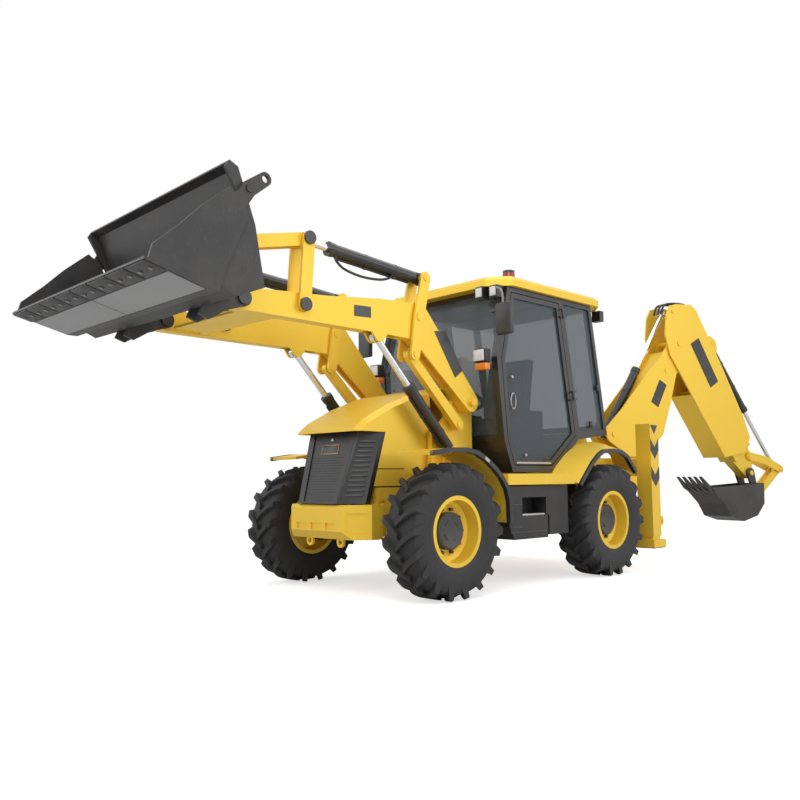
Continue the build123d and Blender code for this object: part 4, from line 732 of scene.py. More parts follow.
# ---------------------------------------------------------------- wheels
@dataclass
class Wheels:
    """Tyres with bar tread, hub covers and wheel nuts.

    Attributes:
        layout: The machine's pins.
        radius: Outer radius of the tread.
        half_width: Half width of the tyre.
        lugs: Bars on each half of the tyre.
        lean: Angle of a bar to the wheel's axis, in degrees.
        phase: Turn of the tread that sets a bar's corner on the ground.
        carcass: Half section: place across and radius.
    """

    layout: Layout
    radius: float = 0.4825
    half_width: float = 0.155
    lugs: int = 18
    lean: float = 38.0
    phase: float = -0.245
    carcass: tuple[Point, ...] = ((0.125, 0.236), (0.131, 0.250), (0.139, 0.270),
                                  (0.148, 0.300), (0.154, 0.345), (0.1545, 0.385),
                                  (0.150, 0.414), (0.136, 0.433), (0.105, 0.444),
                                  (0.055, 0.449), (0.0, 0.4505))

    def carcass_radius(self, x: float) -> float:
        """Find the carcass' radius.

        Args:
            x: Place across, from the tyre's middle.

        Returns:
            The radius there.
        """
        rows = sorted(row for row in self.carcass if row[1] > 0.38)
        for (low, low_radius), (high, high_radius) in zip(rows, rows[1:]):
            if low <= x <= high:
                return low_radius + (high_radius - low_radius) * (x - low) / (high - low)
        return rows[-1][1]

    def lug(self, hand: int) -> bpy.types.Mesh:
        """Make one tread bar of one half of the tyre.

        Args:
            hand: 1 for the half towards the left.

        Returns:
            The bar's mesh, for a tyre that stands round the origin.
        """
        form = Form()
        rings = []
        stations = 8
        for index in range(stations + 1):
            part = index / stations
            across = -0.010 + part * (self.half_width + 0.0105)
            back = math.tan(math.radians(self.lean)) * across * (1.16 - 0.28 * part)
            shoulder = max(0.0, (across - 0.112) / 0.045)
            top = self.radius - 0.018 * shoulder ** 1.7
            base = self.carcass_radius(max(across, 0.0)) - 0.012
            corners = []
            for half, reach in ((0.026, base), (0.0165, top), (-0.0165, top), (-0.026, base)):
                spread = half * (1.0 + 0.35 * part)
                angle = -(back + spread) / reach
                corners.append(Vector((hand * across, -reach * math.sin(angle),
                                       reach * math.cos(angle))))
            rings.append(corners)
        last = []
        for half, reach in ((0.018, 0.385), (0.016, 0.398), (-0.016, 0.398), (-0.018, 0.385)):
            angle = -(back + 0.006 + half) / reach
            last.append(Vector((hand * (self.half_width - 0.0005), -reach * math.sin(angle),
                                reach * math.cos(angle))))
        rings.append(last)
        form.loft(rings)
        return form.mesh("tread_bar", 30.0)

    def tyre(self, corner: str) -> None:
        """Build one tyre in place of its plain solid.

        Args:
            corner: The wheel's place, such as front_left.
        """
        centre = self.layout.pins[f"wheel_{corner}_spin"]
        form = Form()
        section = list(self.carcass) + [(-x, r) for x, r in reversed(self.carcass[:-1])]
        form.turned(section, Vector(), Vector((1, 0, 0)), sides=96, closed=True)
        mesh = form.mesh(f"tyre_{corner}")
        mesh.materials.append(Finishes.rubber.material())
        joined = bmesh.new()
        joined.from_mesh(mesh)
        step = 2 * math.pi / self.lugs
        for hand, start in ((1, self.phase - step / 4), (-1, self.phase + step / 4)):
            ring = Repeats.grow(f"bars_{corner}", self.lug(hand), Repeats.ring(), {
                "Count": self.lugs, "Step": step, "Start": start,
                "Finish": Finishes.rubber.material()})
            joined.from_mesh(ring)
        ribs = Form()
        for face in (1, -1):
            for radius, height in ((0.302, 0.0025), (0.372, 0.002)):
                across = 0.1485 if radius < 0.32 else 0.1545
                ribs.turned([(face * (across - 0.004), radius - 0.004),
                             (face * (across + height * 0.2), radius - 0.002),
                             (face * (across + height * 0.2), radius + 0.002),
                             (face * (across - 0.004), radius + 0.004)],
                            Vector(), Vector((1, 0, 0)), sides=96, closed=True)
        joined.from_mesh(ribs.mesh("ribs"))
        bmesh.ops.translate(joined, verts=joined.verts, vec=centre)
        joined.to_mesh(mesh)
        joined.free()
        mesh.set_sharp_from_angle(angle=math.radians(32))
        place_piece(f"treaded_tyre_{corner}", mesh, f"wheel_{corner}", Finishes.rubber,
                    (f"tyre_{corner}",))

    def hub(self, corner: str) -> None:
        """Cover the hub with a dark plate that carries raised marks, and fit the nuts.

        Args:
            corner: The wheel's place.
        """
        centre = self.layout.pins[f"wheel_{corner}_spin"]
        out = 1 if centre.x > 0 else -1
        axis = Vector((out, 0, 0))
        form = Form()
        form.turned([(0.0095, 0.1335), (0.060, 0.1335), (0.0705, 0.1210), (0.0715, 0.1180),
                     (0.0700, 0.1150), (0.0700, 0.004)], centre, axis, sides=64)
        for quarter in range(4):
            start = math.radians(90 * quarter + 20)
            arc = [centre + Vector((out * 0.0705, 0.071 * math.cos(start + turn),
                                    0.071 * math.sin(start + turn)))
                   for turn in (0.0, 0.22, 0.44, 0.66)]
            form.tube(arc, 0.0042, sides=8, steps=3)
        form.piece(f"hub_cover_{corner}", f"wheel_{corner}", Finishes.hub, "dark_paint")
        nuts = [centre + Vector((out * 0.020, 0.158 * math.cos(turn), 0.158 * math.sin(turn)))
                for turn in (2 * math.pi * step / 10 for step in range(10))]
        place_piece(f"wheel_nuts_{corner}",
                    Repeats.heads(f"wheel_nuts_{corner}", nuts, axis, 0.0135, 0.026,
                                  Finishes.casting),
                    f"wheel_{corner}", Finishes.casting)

    def build(self) -> None:
        """Build all four wheels."""
        for corner in ("front_left", "front_right", "rear_left", "rear_right"):
            self.tyre(corner)
            self.hub(corner)


# ---------------------------------------------------------------- nose
@dataclass
class Nose:
    """Badge plate, lock, louvred flanks and seams round the grille.

    Attributes:
        layout: The machine's pins.
        foot: Place of the face's bottom edge behind the front axle, and its height.
        rise: Height of the face.
        lean: How far its top stands behind its bottom.
        half: Half width of the face at its bottom.
        widening: What its half width gains up to the top.
        flank_end: Rear end of a flank behind the front axle, and out from the middle.
        bar_count: Bars of the grille, with those behind the badge left out.
        bar_pitch: From one bar to the next.
        bar_height: Height of a bar.
        badge_zone: Stretch of the face that the badge covers.
        louvre_count: Louvres on a flank.
        louvre_pitch: From one louvre to the next, as a share of the face's height.
    """

    layout: Layout
    foot: Point = (-0.505, 0.673)
    rise: float = 0.5297
    lean: float = 0.160
    half: float = 0.222
    widening: float = 0.055
    flank_end: Point = (-0.350, 0.372)
    bar_count: int = 24
    bar_pitch: float = 0.0205
    bar_height: float = 0.008
    badge_zone: Point = (0.375, 0.472)
    louvre_count: int = 12
    louvre_pitch: float = 0.068

    def face(self, x: float, up: float, out: float) -> Vector:
        """Find a place on the grille's leaning face.

        Args:
            x: Place across.
            up: Distance along the face from its bottom edge.
            out: Distance outwards from the face.

        Returns:
            The place.
        """
        length = math.hypot(self.rise, self.lean)
        return (self.layout.front(*self.foot, x)
                + Vector((0, self.lean, self.rise)) / length * up
                + Vector((0, -self.rise, self.lean)) / length * out)

    def plate(self, form: Form, half: Point, up: Point, out: Point, bevel: float) -> None:
        """Lay a flat plate on the grille's face.

        Args:
            form: The mesh it goes into.
            half: Its half width at its bottom and at its top.
            up: Its bottom and top edge.
            out: Its back and front, outwards from the face.
            bevel: Rounding of its edges.
        """
        corners = ((-half[0], up[0]), (half[0], up[0]), (half[1], up[1]), (-half[1], up[1]))
        form.prism([self.face(x, height, out[0]) for x, height in corners],
                   self.face(0, 0, out[1]) - self.face(0, 0, out[0]), bevel)

    def flank(self, hand: int, share: float, height: float, out: float) -> Vector:
        """Find a place on one of the grille's slanted flanks.

        Args:
            hand: 1 for the left flank, -1 for the right.
            share: Share of the flank's width, from its front corner.
            height: Share of the face's height.
            out: Distance outwards from the flank.

        Returns:
            The place.
        """
        back, up = self.lean * height, self.foot[1] + self.rise * height
        start = self.layout.front(self.foot[0] + back, up,
                                  hand * (self.half + self.widening * height))
        run = self.layout.front(self.flank_end[0] + back, up, hand * self.flank_end[1]) - start
        facing = Vector((hand * abs(run.y), -abs(run.x), 0)).normalized()
        return start + run * share + facing * out

    def front(self) -> None:
        """Build the badge, its frame, the lock and the grille's bars."""
        frame, badge, lock, bars = Form(), Form(), Form(), Form()
        self.plate(frame, (0.100, 0.100), (0.386, 0.462), (-0.010, -0.004), 0.002)
        frame.piece("badge_frame", "bonnet", Finishes.gold, "yellow_paint")
        self.plate(badge, (0.094, 0.094), (0.392, 0.456), (-0.008, -0.002), 0.0015)
        badge.piece("badge_blank", "bonnet", Finishes.black, "dark_paint")
        lock.turned([(-0.002, 0.016), (0.004, 0.016), (0.006, 0.013), (0.006, 0.004)],
                    self.face(0, 0.505, -0.008), self.face(0, 0, 1) - self.face(0, 0, 0), 24)
        lock.piece("bonnet_lock", "bonnet", Finishes.steel, "dark_paint")
        for step in range(self.bar_count):
            up = 0.030 + step * self.bar_pitch
            if not self.badge_zone[0] < up < self.badge_zone[1]:
                half = 0.160 + 0.048 * up / 0.55
                self.plate(bars, (half, half), (up, up + self.bar_height),
                           (-0.010, -0.0065), 0.0)
        bars.piece("grille_bars", "bonnet", Finishes.grille, "dark_paint")

    def build(self) -> None:
        """Build the nose's trim."""
        self.front()
        for side in Side:
            hand, label = side.value, side.name.lower()
            slats, strip, seam = Form(), Form(), Form()
            for step in range(self.louvre_count):
                height = 0.10 + step * self.louvre_pitch
                slats.prism([self.flank(hand, share, height + rise, 0.0005)
                             for share, rise in ((0.22, 0.0), (0.84, 0.0), (0.84, 0.030),
                                                 (0.22, 0.030))],
                            self.flank(hand, 0.5, height, 0.007)
                            - self.flank(hand, 0.5, height, 0.0), 0.002)
            slats.piece(f"flank_louvres_{label}", "bonnet", Finishes.flank, "dark_paint")
            strip.loft([[self.flank(hand, share, height, out) for share, out in (
                (0.02, 0.001), (0.10, 0.001), (0.10, 0.005), (0.02, 0.005))]
                for height in (0.02, 0.98)], bevel=0.001)
            strip.piece(f"corner_strip_{label}", "bonnet", Finishes.flank, "dark_paint")
            seam.band([(-1.930, 0.925), (-1.620, 0.925)], 0.3718, 0.3745, 0.0, 0.006, hand)
            seam.piece(f"bonnet_seam_{label}", "bonnet", Finishes.black, "dark_paint")


@dataclass(frozen=True)
class Slab:
    """A box of trim that both sides have.

    Attributes:
        middle: Distance from the middle plane.
        span: Reach from there towards the right and towards the left.
        along: First and last place behind the front axle.
        up: Bottom and top.
        rounding: Rounding of its edges.
    """

    middle: float
    span: Point
    along: Point
    up: Point
    rounding: float

    def add(self, form: Form, layout: Layout, hand: int) -> None:
        """Add the box to a mesh.

        Args:
            form: The mesh.
            layout: The machine's pins.
            hand: 1 for the left side, -1 for the right.
        """
        form.box(layout.front(self.along[0], self.up[0], hand * self.middle - self.span[0]),
                 layout.front(self.along[1], self.up[1], hand * self.middle + self.span[1]),
                 self.rounding)


def both_sides(layout: Layout, slabs: Sequence[Slab]) -> Form:
    """Build slabs on both sides of the machine.

    Args:
        layout: The machine's pins.
        slabs: The slabs of one side.

    Returns:
        The mesh of all of them.
    """
    form = Form()
    for side in Side:
        for slab in slabs:
            slab.add(form, layout, side.value)
    return form


# ---------------------------------------------------------------- cab
@dataclass
class Cab:
    """Lamps, mirrors, handles, beacon, seat cushions and levers.

    Attributes:
        layout: The machine's pins.
        half: Half width of the cab.
        bezels: Housings of the work lamps and of the headlamp.
        lenses: Glass of the work lamps and of the headlamp.
        rear_lamp: Glass of a rear lamp.
        indicator: Glass of an indicator.
        mirror_shell: Housing of a mirror.
        mirror_glass: Its glass.
        mirror_arm: Points (y, z, x) of its arm.
        handle: Middle (y, z) of the ring handle.
        handle_half: Half width and half height of the ring.
        handle_radius: Radius of the ring's bar.
        locks: Places (y, z) of the lock buttons.
        hinges: Hinge covers and window catches.
        kick_strip: The bright strip along the door's foot.
        beacon_place: Middle (y, z, x) of the beacon's foot.
        lever_count: Levers on a console.
        lever_foot: First lever's foot (y, z, x).
        lever_step: From one lever to the next, rearwards and outwards.
    """

    layout: Layout
    half: float = 0.700
    bezels: tuple[Slab, ...] = (
        Slab(0.510, (0.040, 0.040), (0.784, 0.800), (2.334, 2.426), 0.004),
        Slab(0.630, (0.040, 0.040), (0.820, 0.836), (2.334, 2.426), 0.004),
        Slab(0.625, (0.062, 0.058), (0.640, 0.720), (1.775, 1.885), 0.012))
    lenses: tuple[Slab, ...] = (
        Slab(0.510, (0.033, 0.033), (0.780, 0.788), (2.342, 2.418), 0.003),
        Slab(0.630, (0.033, 0.033), (0.816, 0.824), (2.342, 2.418), 0.003),
        Slab(0.625, (0.054, 0.050), (0.633, 0.644), (1.785, 1.875), 0.004))
    rear_lamp: Slab = Slab(0.605, (0.038, 0.038), (2.446, 2.456), (2.338, 2.422), 0.003)
    indicator: Slab = Slab(0.625, (0.055, 0.055), (0.648, 0.715), (1.715, 1.770), 0.008)
    mirror_shell: Slab = Slab(0.830, (0.078, 0.078), (0.692, 0.748), (1.982, 2.238), 0.018)
    mirror_glass: Slab = Slab(0.830, (0.062, 0.062), (0.744, 0.7495), (2.000, 2.220), 0.002)
    mirror_arm: tuple[Place, ...] = ((0.790, 2.395, 0.690), (0.760, 2.360, 0.760),
                                     (0.728, 2.300, 0.806), (0.722, 2.225, 0.812))
    handle: Point = (0.966, 1.476)
    handle_half: Point = (0.030, 0.064)
    handle_radius: float = 0.0065
    locks: tuple[Point, ...] = ((0.962, 1.674), (1.120, 1.039))
    hinges: tuple[Slab, ...] = (
        Slab(0.704, (0.008, 0.012), (1.642, 1.702), (2.256, 2.326), 0.004),
        Slab(0.704, (0.008, 0.012), (1.756, 1.816), (1.525, 1.595), 0.004),
        Slab(0.704, (0.008, 0.010), (2.197, 2.241), (1.645, 1.701), 0.004),
        Slab(0.704, (0.008, 0.010), (2.068, 2.112), (1.302, 1.358), 0.004))
    kick_strip: Slab = Slab(0.698, (0.003, 0.005), (1.000, 1.470), (0.968, 0.982), 0.0015)
    beacon_place: Place = (1.290, 2.515, 0.430)
    lever_count: int = 3
    lever_foot: Place = (1.30, 1.420, 0.345)
    lever_step: Point = (0.08, 0.012)

    def lamps(self) -> None:
        """Fit square work lamps, rear lamps, headlamps and indicators."""
        for name, slabs, finish, slot in (
                ("lamp_lenses", self.lenses, Finishes.lamp, "tinted_glass"),
                ("lamp_bezels", self.bezels, Finishes.plastic, "dark_paint"),
                ("rear_lamps", (self.rear_lamp,), Finishes.red, "tinted_glass"),
                ("indicators", (self.indicator,), Finishes.orange, "tinted_glass")):
            both_sides(self.layout, slabs).piece(name, ROOT, finish, slot)

    def mirrors(self) -> None:
        """Fit rounded mirror shells with their glass and arms."""
        for side in Side:
            hand, label = side.value, side.name.lower()
            shell, glass, arm = Form(), Form(), Form()
            self.mirror_shell.add(shell, self.layout, hand)
            shell.piece(f"mirror_shell_{label}", ROOT, Finishes.hub, "dark_paint")
            self.mirror_glass.add(glass, self.layout, hand)
            glass.piece(f"mirror_glass_{label}", ROOT, Finishes.mirror, "tinted_glass")
            arm.tube([self.layout.front(y, z, hand * x) for y, z, x in self.mirror_arm], 0.010)
            arm.piece(f"mirror_arm_{label}", ROOT, Finishes.edge, "dark_paint")

    def door_handle(self, hand: int) -> Form:
        """Build a door's ring handle and its lock buttons.

        Args:
            hand: 1 for the left door, -1 for the right.

        Returns:
            Their mesh.
        """
        form, across = Form(), Vector((hand, 0, 0))
        middle = self.layout.front(*self.handle, hand * (self.half + 0.006))
        wide, high = self.handle_half
        rings = []
        for turn in (2 * math.pi * step / 24 for step in range(24)):
            point = middle + Vector((0, wide * math.sin(turn), high * math.cos(turn)))
            outward = (point - middle).normalized()
            rings.append([point + self.handle_radius * (math.cos(roll) * outward
                                                        + math.sin(roll) * across)
                          for roll in (2 * math.pi * step / 8 for step in range(8))])
        form.loft(rings, closed=True)
        for y, z in self.locks:
            form.turned([(0.0, 0.013), (0.008, 0.013), (0.011, 0.010), (0.011, 0.003)],
                        self.layout.front(y, z, hand * (self.half - 0.001)), across, 20)
        return form

    def doors(self) -> None:
        """Fit the doors' handles, hinge covers and kick strips."""
        for side in Side:
            hand, label = side.value, side.name.lower()
            self.door_handle(hand).piece(f"door_handle_{label}", f"door_{label}",
                                         Finishes.steel, "dark_paint")
            strip, covers = Form(), Form()
            self.kick_strip.add(strip, self.layout, hand)
            strip.piece(f"kick_strip_{label}", f"door_{label}", Finishes.pale, "dark_paint")
            for slab in self.hinges:
                slab.add(covers, self.layout, hand)
            covers.piece(f"hinge_covers_{label}", ROOT, Finishes.black, "dark_paint")

    def beacon(self) -> None:
        """Cover the beacon with a dome on a black base."""
        dome, base = Form(), Form()
        middle, up = self.layout.front(*self.beacon_place), Vector((0, 0, 1))
        dome.turned([(0.046, 0.0535), (0.120, 0.0545), (0.134, 0.050), (0.146, 0.040),
                     (0.154, 0.024), (0.157, 0.008)], middle, up, 40)
        dome.piece("beacon_dome", ROOT, Finishes.amber, "tinted_glass")
        base.turned([(-0.002, 0.060), (0.016, 0.060), (0.022, 0.056), (0.046, 0.0555),
                     (0.048, 0.050)], middle, up, 40)
        base.piece("beacon_base", ROOT, Finishes.black, "dark_paint")

    def cushion(self, name: str, low: Place, high: Place, crown: float, lean: float) -> None:
        """Build one padded seat part with drawn-in edges.

        Args:
            name: The piece's name.
            low: Lowest corner: across, behind the front axle, height.
            high: Highest corner.
            crown: Extra thickness of a backrest's middle.
            lean: How far its top sits rearwards of its bottom, 0 for a seat base.
        """
        form, rows, count = Form(), 14, 56
        middle = [0.5 * (first + last) for first, last in zip(low, high)]
        reach = [0.5 * (last - first) for first, last in zip(low, high)]
        rings = []
        for row in range(rows + 1):
            part = row / rows
            swell = (1 - abs(2 * part - 1) ** 4) ** 0.5
            depth = 0.7 + 0.3 * swell if lean else 0.86 + 0.14 * swell
            ring = []
            for turn in (2 * math.pi * step / count for step in range(count)):
                cos, sin = math.cos(turn), math.sin(turn)
                square = max(abs(cos), abs(sin)) ** -0.82
                x = middle[0] + reach[0] * cos * square * (0.82 + 0.18 * swell)
                y = middle[1] + reach[1] * depth * sin * square
                if sin < 0:
                    y -= crown * (1 - cos ** 2) * swell
                ring.append(self.layout.front(y + lean * part, low[2] + 2 * reach[2] * part, x))
            rings.append(ring)
        form.loft(rings)
        piece = place_piece(name, form.mesh(name, 60.0), ROOT, Finishes.seat)

    def inside(self) -> None:
        """Fit the cushions and the control levers."""
        self.cushion("cushion_base", (-0.245, 1.365, 1.300), (0.245, 1.790, 1.392), 0.0, 0.0)
        self.cushion("cushion_back", (-0.226, 1.655, 1.400), (0.226, 1.775, 1.955), 0.02, 0.150)
        levers = Form()
        for side in Side:
            for step in range(self.lever_count):
                y, z, x = self.lever_foot
                foot = self.layout.front(y + self.lever_step[0] * step, z,
                                         side.value * (x + self.lever_step[1] * step))
                top = foot + Vector((0, -0.030, 0.165))
                levers.tube([foot, foot + Vector((0, -0.012, 0.090)), top], 0.0055, sides=8,
                            steps=3)
                levers.turned([(0.0, 0.008), (0.008, 0.015), (0.028, 0.017), (0.042, 0.011),
                               (0.046, 0.004)], top + Vector((0, 0, -0.006)),
                              Vector((0, -0.1, 1)), 16)
        levers.piece("control_levers", ROOT, Finishes.plastic, "dark_paint")

    def build(self) -> None:
        """Fit everything to the cab."""
        self.lamps()
        self.mirrors()
        self.doors()
        self.beacon()
        self.inside()


# ---------------------------------------------------------------- wings and steps
@dataclass
class Wings:
    """Dark lips on the wings, step bars, tank lines and post stripes.

    Attributes:
        layout: The machine's pins.
        front_edge: Points (y, z) of a front wing's edge, from the front axle.
        rear_edge: Points (y, z) of a rear arch's edge, from the rear axle.
        mark: Ends of the pale mark on a front wing.
        step_bar: Bright bar in the step's recess.
        tank_lines: Raised lines on the side tank.
        post_face: Outer face of a stabiliser post, just below its surface.
        post: Front edge, middle and rear edge of the stripes on a post.
        stripe_heights: Heights of the stripes.
        stripe_thickness: Thickness of a stripe.
    """

    layout: Layout
    front_edge: tuple[Point, ...] = (
        (-0.250, 1.040), (-0.060, 1.066), (0.100, 1.068), (0.220, 1.048), (0.330, 0.996),
        (0.420, 0.934), (0.500, 0.866), (0.560, 0.785), (0.592, 0.690), (0.600, 0.520))
    rear_edge: tuple[Point, ...] = (
        (-0.502, 0.800), (-0.432, 0.870), (-0.310, 0.985), (-0.192, 1.062), (-0.122, 1.090),
        (0.020, 1.098), (0.158, 1.092), (0.268, 1.050), (0.350, 0.975), (0.418, 0.905))
    mark: tuple[Point, ...] = ((0.300, 1.014), (0.345, 0.987))
    step_bar: Slab = Slab(0.865, (0.030, 0.030), (0.812, 1.098), (0.553, 0.572), 0.003)
    tank_lines: tuple[Slab, ...] = (
        Slab(0.9005, (0.002, 0.003), (0.655, 0.795), (0.470, 0.482), 0.001),
        Slab(0.9005, (0.002, 0.003), (0.655, 0.795), (0.640, 0.652), 0.001),
        Slab(0.9005, (0.002, 0.003), (0.655, 1.115), (0.430, 0.440), 0.001))
    post_face: float = 0.9495
    post: Place = (2.701, 2.775, 2.849)
    stripe_heights: Point = (0.820, 1.080)
    stripe_thickness: float = 0.0022

    def lips(self) -> None:
        """Build the lips of wings and arches, and the marks on them."""
        rear = self.layout.pins["wheel_rear_left_spin"].y
        front = self.layout.pins["wheel_front_left_spin"].y
        for name, path, axle, section, finish in (
                ("wing_lips", self.front_edge, front, (0.928, 0.9665, 0.030, 0.004),
                 Finishes.lip),
                ("wing_marks", self.mark, front, (0.950, 0.9672, 0.026, -0.004),
                 Finishes.pale),
                ("arch_lips", self.rear_edge, rear, (0.922, 0.9560, 0.032, 0.004),
                 Finishes.black)):
            form = Form()
            for side in Side:
                form.band([(axle + y, z) for y, z in path], *section, side.value)
            form.piece(name, ROOT, finish, "dark_paint")

    def stripes(self) -> None:
        """Paint the stabiliser posts' chevrons and triangle."""
        form = Form()
        front, middle, rear = self.post
        outlines = [[(front, z + 0.130), (middle, z + 0.050), (rear, z + 0.130),
                     (rear, z + 0.020), (middle, z - 0.060), (front, z + 0.020)]
                    for z in self.stripe_heights]
        outlines.append([(front + 0.011, 1.338), (rear - 0.011, 1.338), (middle, 1.252)])
        for side in Side:
            for outline in outlines:
                form.prism([self.layout.front(y, z, side.value * self.post_face)
                            for y, z in outline],
                           Vector((side.value * self.stripe_thickness, 0, 0)))
        form.piece("post_chevrons", ROOT, Finishes.black, "dark_paint")

    def build(self) -> None:
        """Build the trim along the wings and below the cab."""
        self.lips()
        both_sides(self.layout, (self.step_bar,)).piece("step_bars", ROOT, Finishes.pale,
                                                        "dark_paint")
        both_sides(self.layout, self.tank_lines).piece("tank_lines", ROOT, Finishes.hub,
                                                       "dark_paint")
        self.stripes()


@dataclass(frozen=True)
class RamTrim:
    """Collars and side pipe of a ram barrel.

    Attributes:
        clamp: Radii of a clamp: edge, middle and bore.
        gland: Radii of the gland's collar: edge, middle and bore.
        port: Distance of the pipe's ends from the barrel's axis.
        offset: Distance of the pipe from the barrel's axis.
        pipe: Radius of the pipe.
        stop: From the gland back to the pipe's end and to its port.
        clamps: Places of the clamps, as shares of the barrel's length.
        clip: True where a clip holds the pipe at each clamp.
    """

    clamp: Place
    gland: Place
    port: float
    offset: float
    pipe: float
    stop: Point
    clamps: Point
    clip: bool = False

    def add(self, pipes: Form, collars: Form, base: Vector, run: Vector, off: Vector,
            length: float) -> None:
        """Add one barrel's trim.

        Args:
            pipes: Mesh of the pipes.
            collars: Mesh of the collars.
            base: The barrel's pin.
            run: Direction of its rod.
            off: Direction towards the pipe.
            length: From the pin to the gland.
        """
        pipes.tube([base + run * 0.110 + off * self.port, base + run * 0.120 + off * self.offset,
                    base + run * (length - self.stop[0]) + off * self.offset,
                    base + run * (length - self.stop[1]) + off * self.port],
                   self.pipe, sides=10, steps=0)
        for share in self.clamps:
            edge, middle, bore = self.clamp
            collars.turned([(-0.012, edge), (-0.010, middle), (0.010, middle), (0.012, edge),
                            (0.012, bore), (-0.012, bore)], base + run * (length * share), run,
                           28, closed=True)
            if self.clip:
                collars.turned([(-0.010, 0.012), (0.010, 0.012)],
                               base + run * (length * share) + off * 0.054, run, 14)
        edge, middle, bore = self.gland
        collars.turned([(-0.050, edge), (-0.047, middle), (-0.002, middle), (0.000, edge),
                        (0.000, bore), (-0.050, bore)], base + run * length, run, 28,
                       closed=True)


# ---------------------------------------------------------------- loader
@dataclass
class Loader:
    """Shovel plates, ram trim, hose loops and the arms' blank plates.

    Attributes:
        layout: The machine's pins.
        lip: Front end (y, z) of the shovel's underside, from the front axle.
        heel: Its rear end.
        panels: Right and left edge of each panel under the shovel.
        wear_count: Wear plates along the lip.
        wear_pitch: From one wear plate to the next.
        arm: Distance of an arm's middle from the middle plane.
        arm_face: An arm's outer face, just below its surface.
        arm_plates: Corners (y, z) of the blank plates on an arm.
        trim: Collars and pipes of the loader's rams.
        loop: Points of a hose loop: along the barrel and below it.
    """

    layout: Layout
    lip: Point = (-2.386, 1.993)
    heel: Point = (-2.006, 1.893)
    panels: tuple[Point, ...] = ((-0.944, -0.006), (0.006, 0.944))
    wear_count: int = 8
    wear_pitch: float = 0.240
    arm: float = 0.490
    arm_face: float = 0.5395
    arm_plates: tuple[tuple[Point, ...], ...] = (
        ((0.212, 1.985), (0.338, 2.002), (0.532, 1.703), (0.446, 1.640)),
        ((-0.600, 2.075), (-0.440, 2.082), (-0.440, 2.002), (-0.600, 1.995)))
    trim: RamTrim = RamTrim((0.0475, 0.0490, 0.0430), (0.0480, 0.0500, 0.0300), 0.040, 0.056,
                            0.007, (0.075, 0.060), (0.30, 0.62), True)
    loop: tuple[Point, ...] = ((0.845, 0.040), (0.835, 0.075), (0.760, 0.115), (0.600, 0.128),
                               (0.430, 0.108), (0.330, 0.072), (0.300, 0.042))

    def shovel(self) -> None:
        """Plate the shovel's underside, and bolt wear plates to its lip."""
        panels, wear, bolts_at = Form(), Form(), []
        origin, low = self.layout.front(0, 0), Vector((0, *self.lip))
        high = Vector((0, *self.heel))
        run = (high - low).normalized()
        down = Vector((0, run.z, -run.y))

        def plate(form: Form, across: Point, ends: Sequence[Vector], thickness: float,
                  bevel: float) -> None:
            """Lay one plate under the shovel.

            Args:
                form: The mesh it goes into.
                across: Its right and left edge.
                ends: Points of its front and rear edge, from the front axle.
                thickness: Its thickness.
                bevel: Rounding of its edges.
            """
            corners = ((across[0], ends[0]), (across[1], ends[0]), (across[1], ends[1]),
                       (across[0], ends[1]))
            form.prism([Vector((x, 0, 0)) + origin + end - down * 0.001 for x, end in corners],
                       down * thickness, bevel)

        for across in self.panels:
            plate(panels, across, (low + run * 0.150, high - run * 0.012), 0.005, 0.0015)
        for step in range(self.wear_count):
            middle = -0.840 + self.wear_pitch * step
            plate(wear, (middle - 0.112, middle + 0.112), (low + run * 0.006, low + run * 0.135),
                  0.009, 0.002)
            bolts_at += [Vector((middle + x, 0, 0)) + origin + low + run * 0.075 + down * 0.010
                         for x in (-0.060, 0.060)]
        # The panels' pale grey is partly painted light from below.
        panels.piece("shovel_panels", "shovel_jaw", Finishes.shovel_grey_and_underlight, "shovel_paint")
        wear.piece("shovel_wear_plates", "shovel_jaw", Finishes.charcoal, "shovel_paint")
        place_piece("shovel_bolts", Repeats.heads("shovel_bolts", bolts_at, down, 0.016, 0.010,
                                                  Finishes.edge),
                    "shovel_jaw", Finishes.edge)

    def ram(self, label: str, foot: Point, eye: Point, gland: float, body: str) -> None:
        """Trim a pair of ram barrels.

        Args:
            label: The rams' name.
            foot: Barrel pin (y, z), from the front axle.
            eye: Rod pin.
            gland: Length from the barrel pin to the gland.
            body: The barrels' body.
        """
        pipes, collars = Form(), Form()
        start = self.layout.front(*foot)
        run = (self.layout.front(*eye) - start).normalized()
        under = Vector((0, run.z, -run.y)) * (-1 if run.y < 0 else 1)
        for side in Side:
            self.trim.add(pipes, collars, start + Vector((side.value * self.arm, 0, 0)), run,
                          under, gland)
        pipes.piece(f"{label}_pipes", body, Finishes.hose, "dark_paint")
        collars.piece(f"{label}_collars", body, Finishes.black, "dark_paint")

    def hoses(self) -> None:
        """Hang a hose loop below each crowd barrel."""
        form = Form()
        start = self.layout.front(*CROWD_RAM[0])
        run = (self.layout.front(*CROWD_RAM[1]) - start).normalized()
        for side in Side:
            base = start + Vector((side.value * self.arm, 0, 0))
            form.tube([base + run * along + Vector((side.value * 0.016, 0, -drop))
                       for along, drop in self.loop], 0.0095, sides=10, steps=5)
        form.piece("crowd_hoses", "crowd_barrels", Finishes.hose, "dark_paint")

    def plates(self) -> None:
        """Lay the blank plates on the arms."""
        form = Form()
        for side in Side:
            for corners in self.arm_plates:
                form.prism([self.layout.front(y, z, side.value * self.arm_face)
                            for y, z in corners], Vector((side.value * 0.0020, 0, 0)))
        form.piece("arm_plates", "loader_arms", Finishes.black, "dark_paint")

    def build(self) -> None:
        """Dress the loader."""
        self.shovel()
        self.ram("lift", *LIFT_RAM, "lift_barrels")
        self.ram("crowd", *CROWD_RAM, "crowd_barrels")
        self.hoses()
        self.plates()


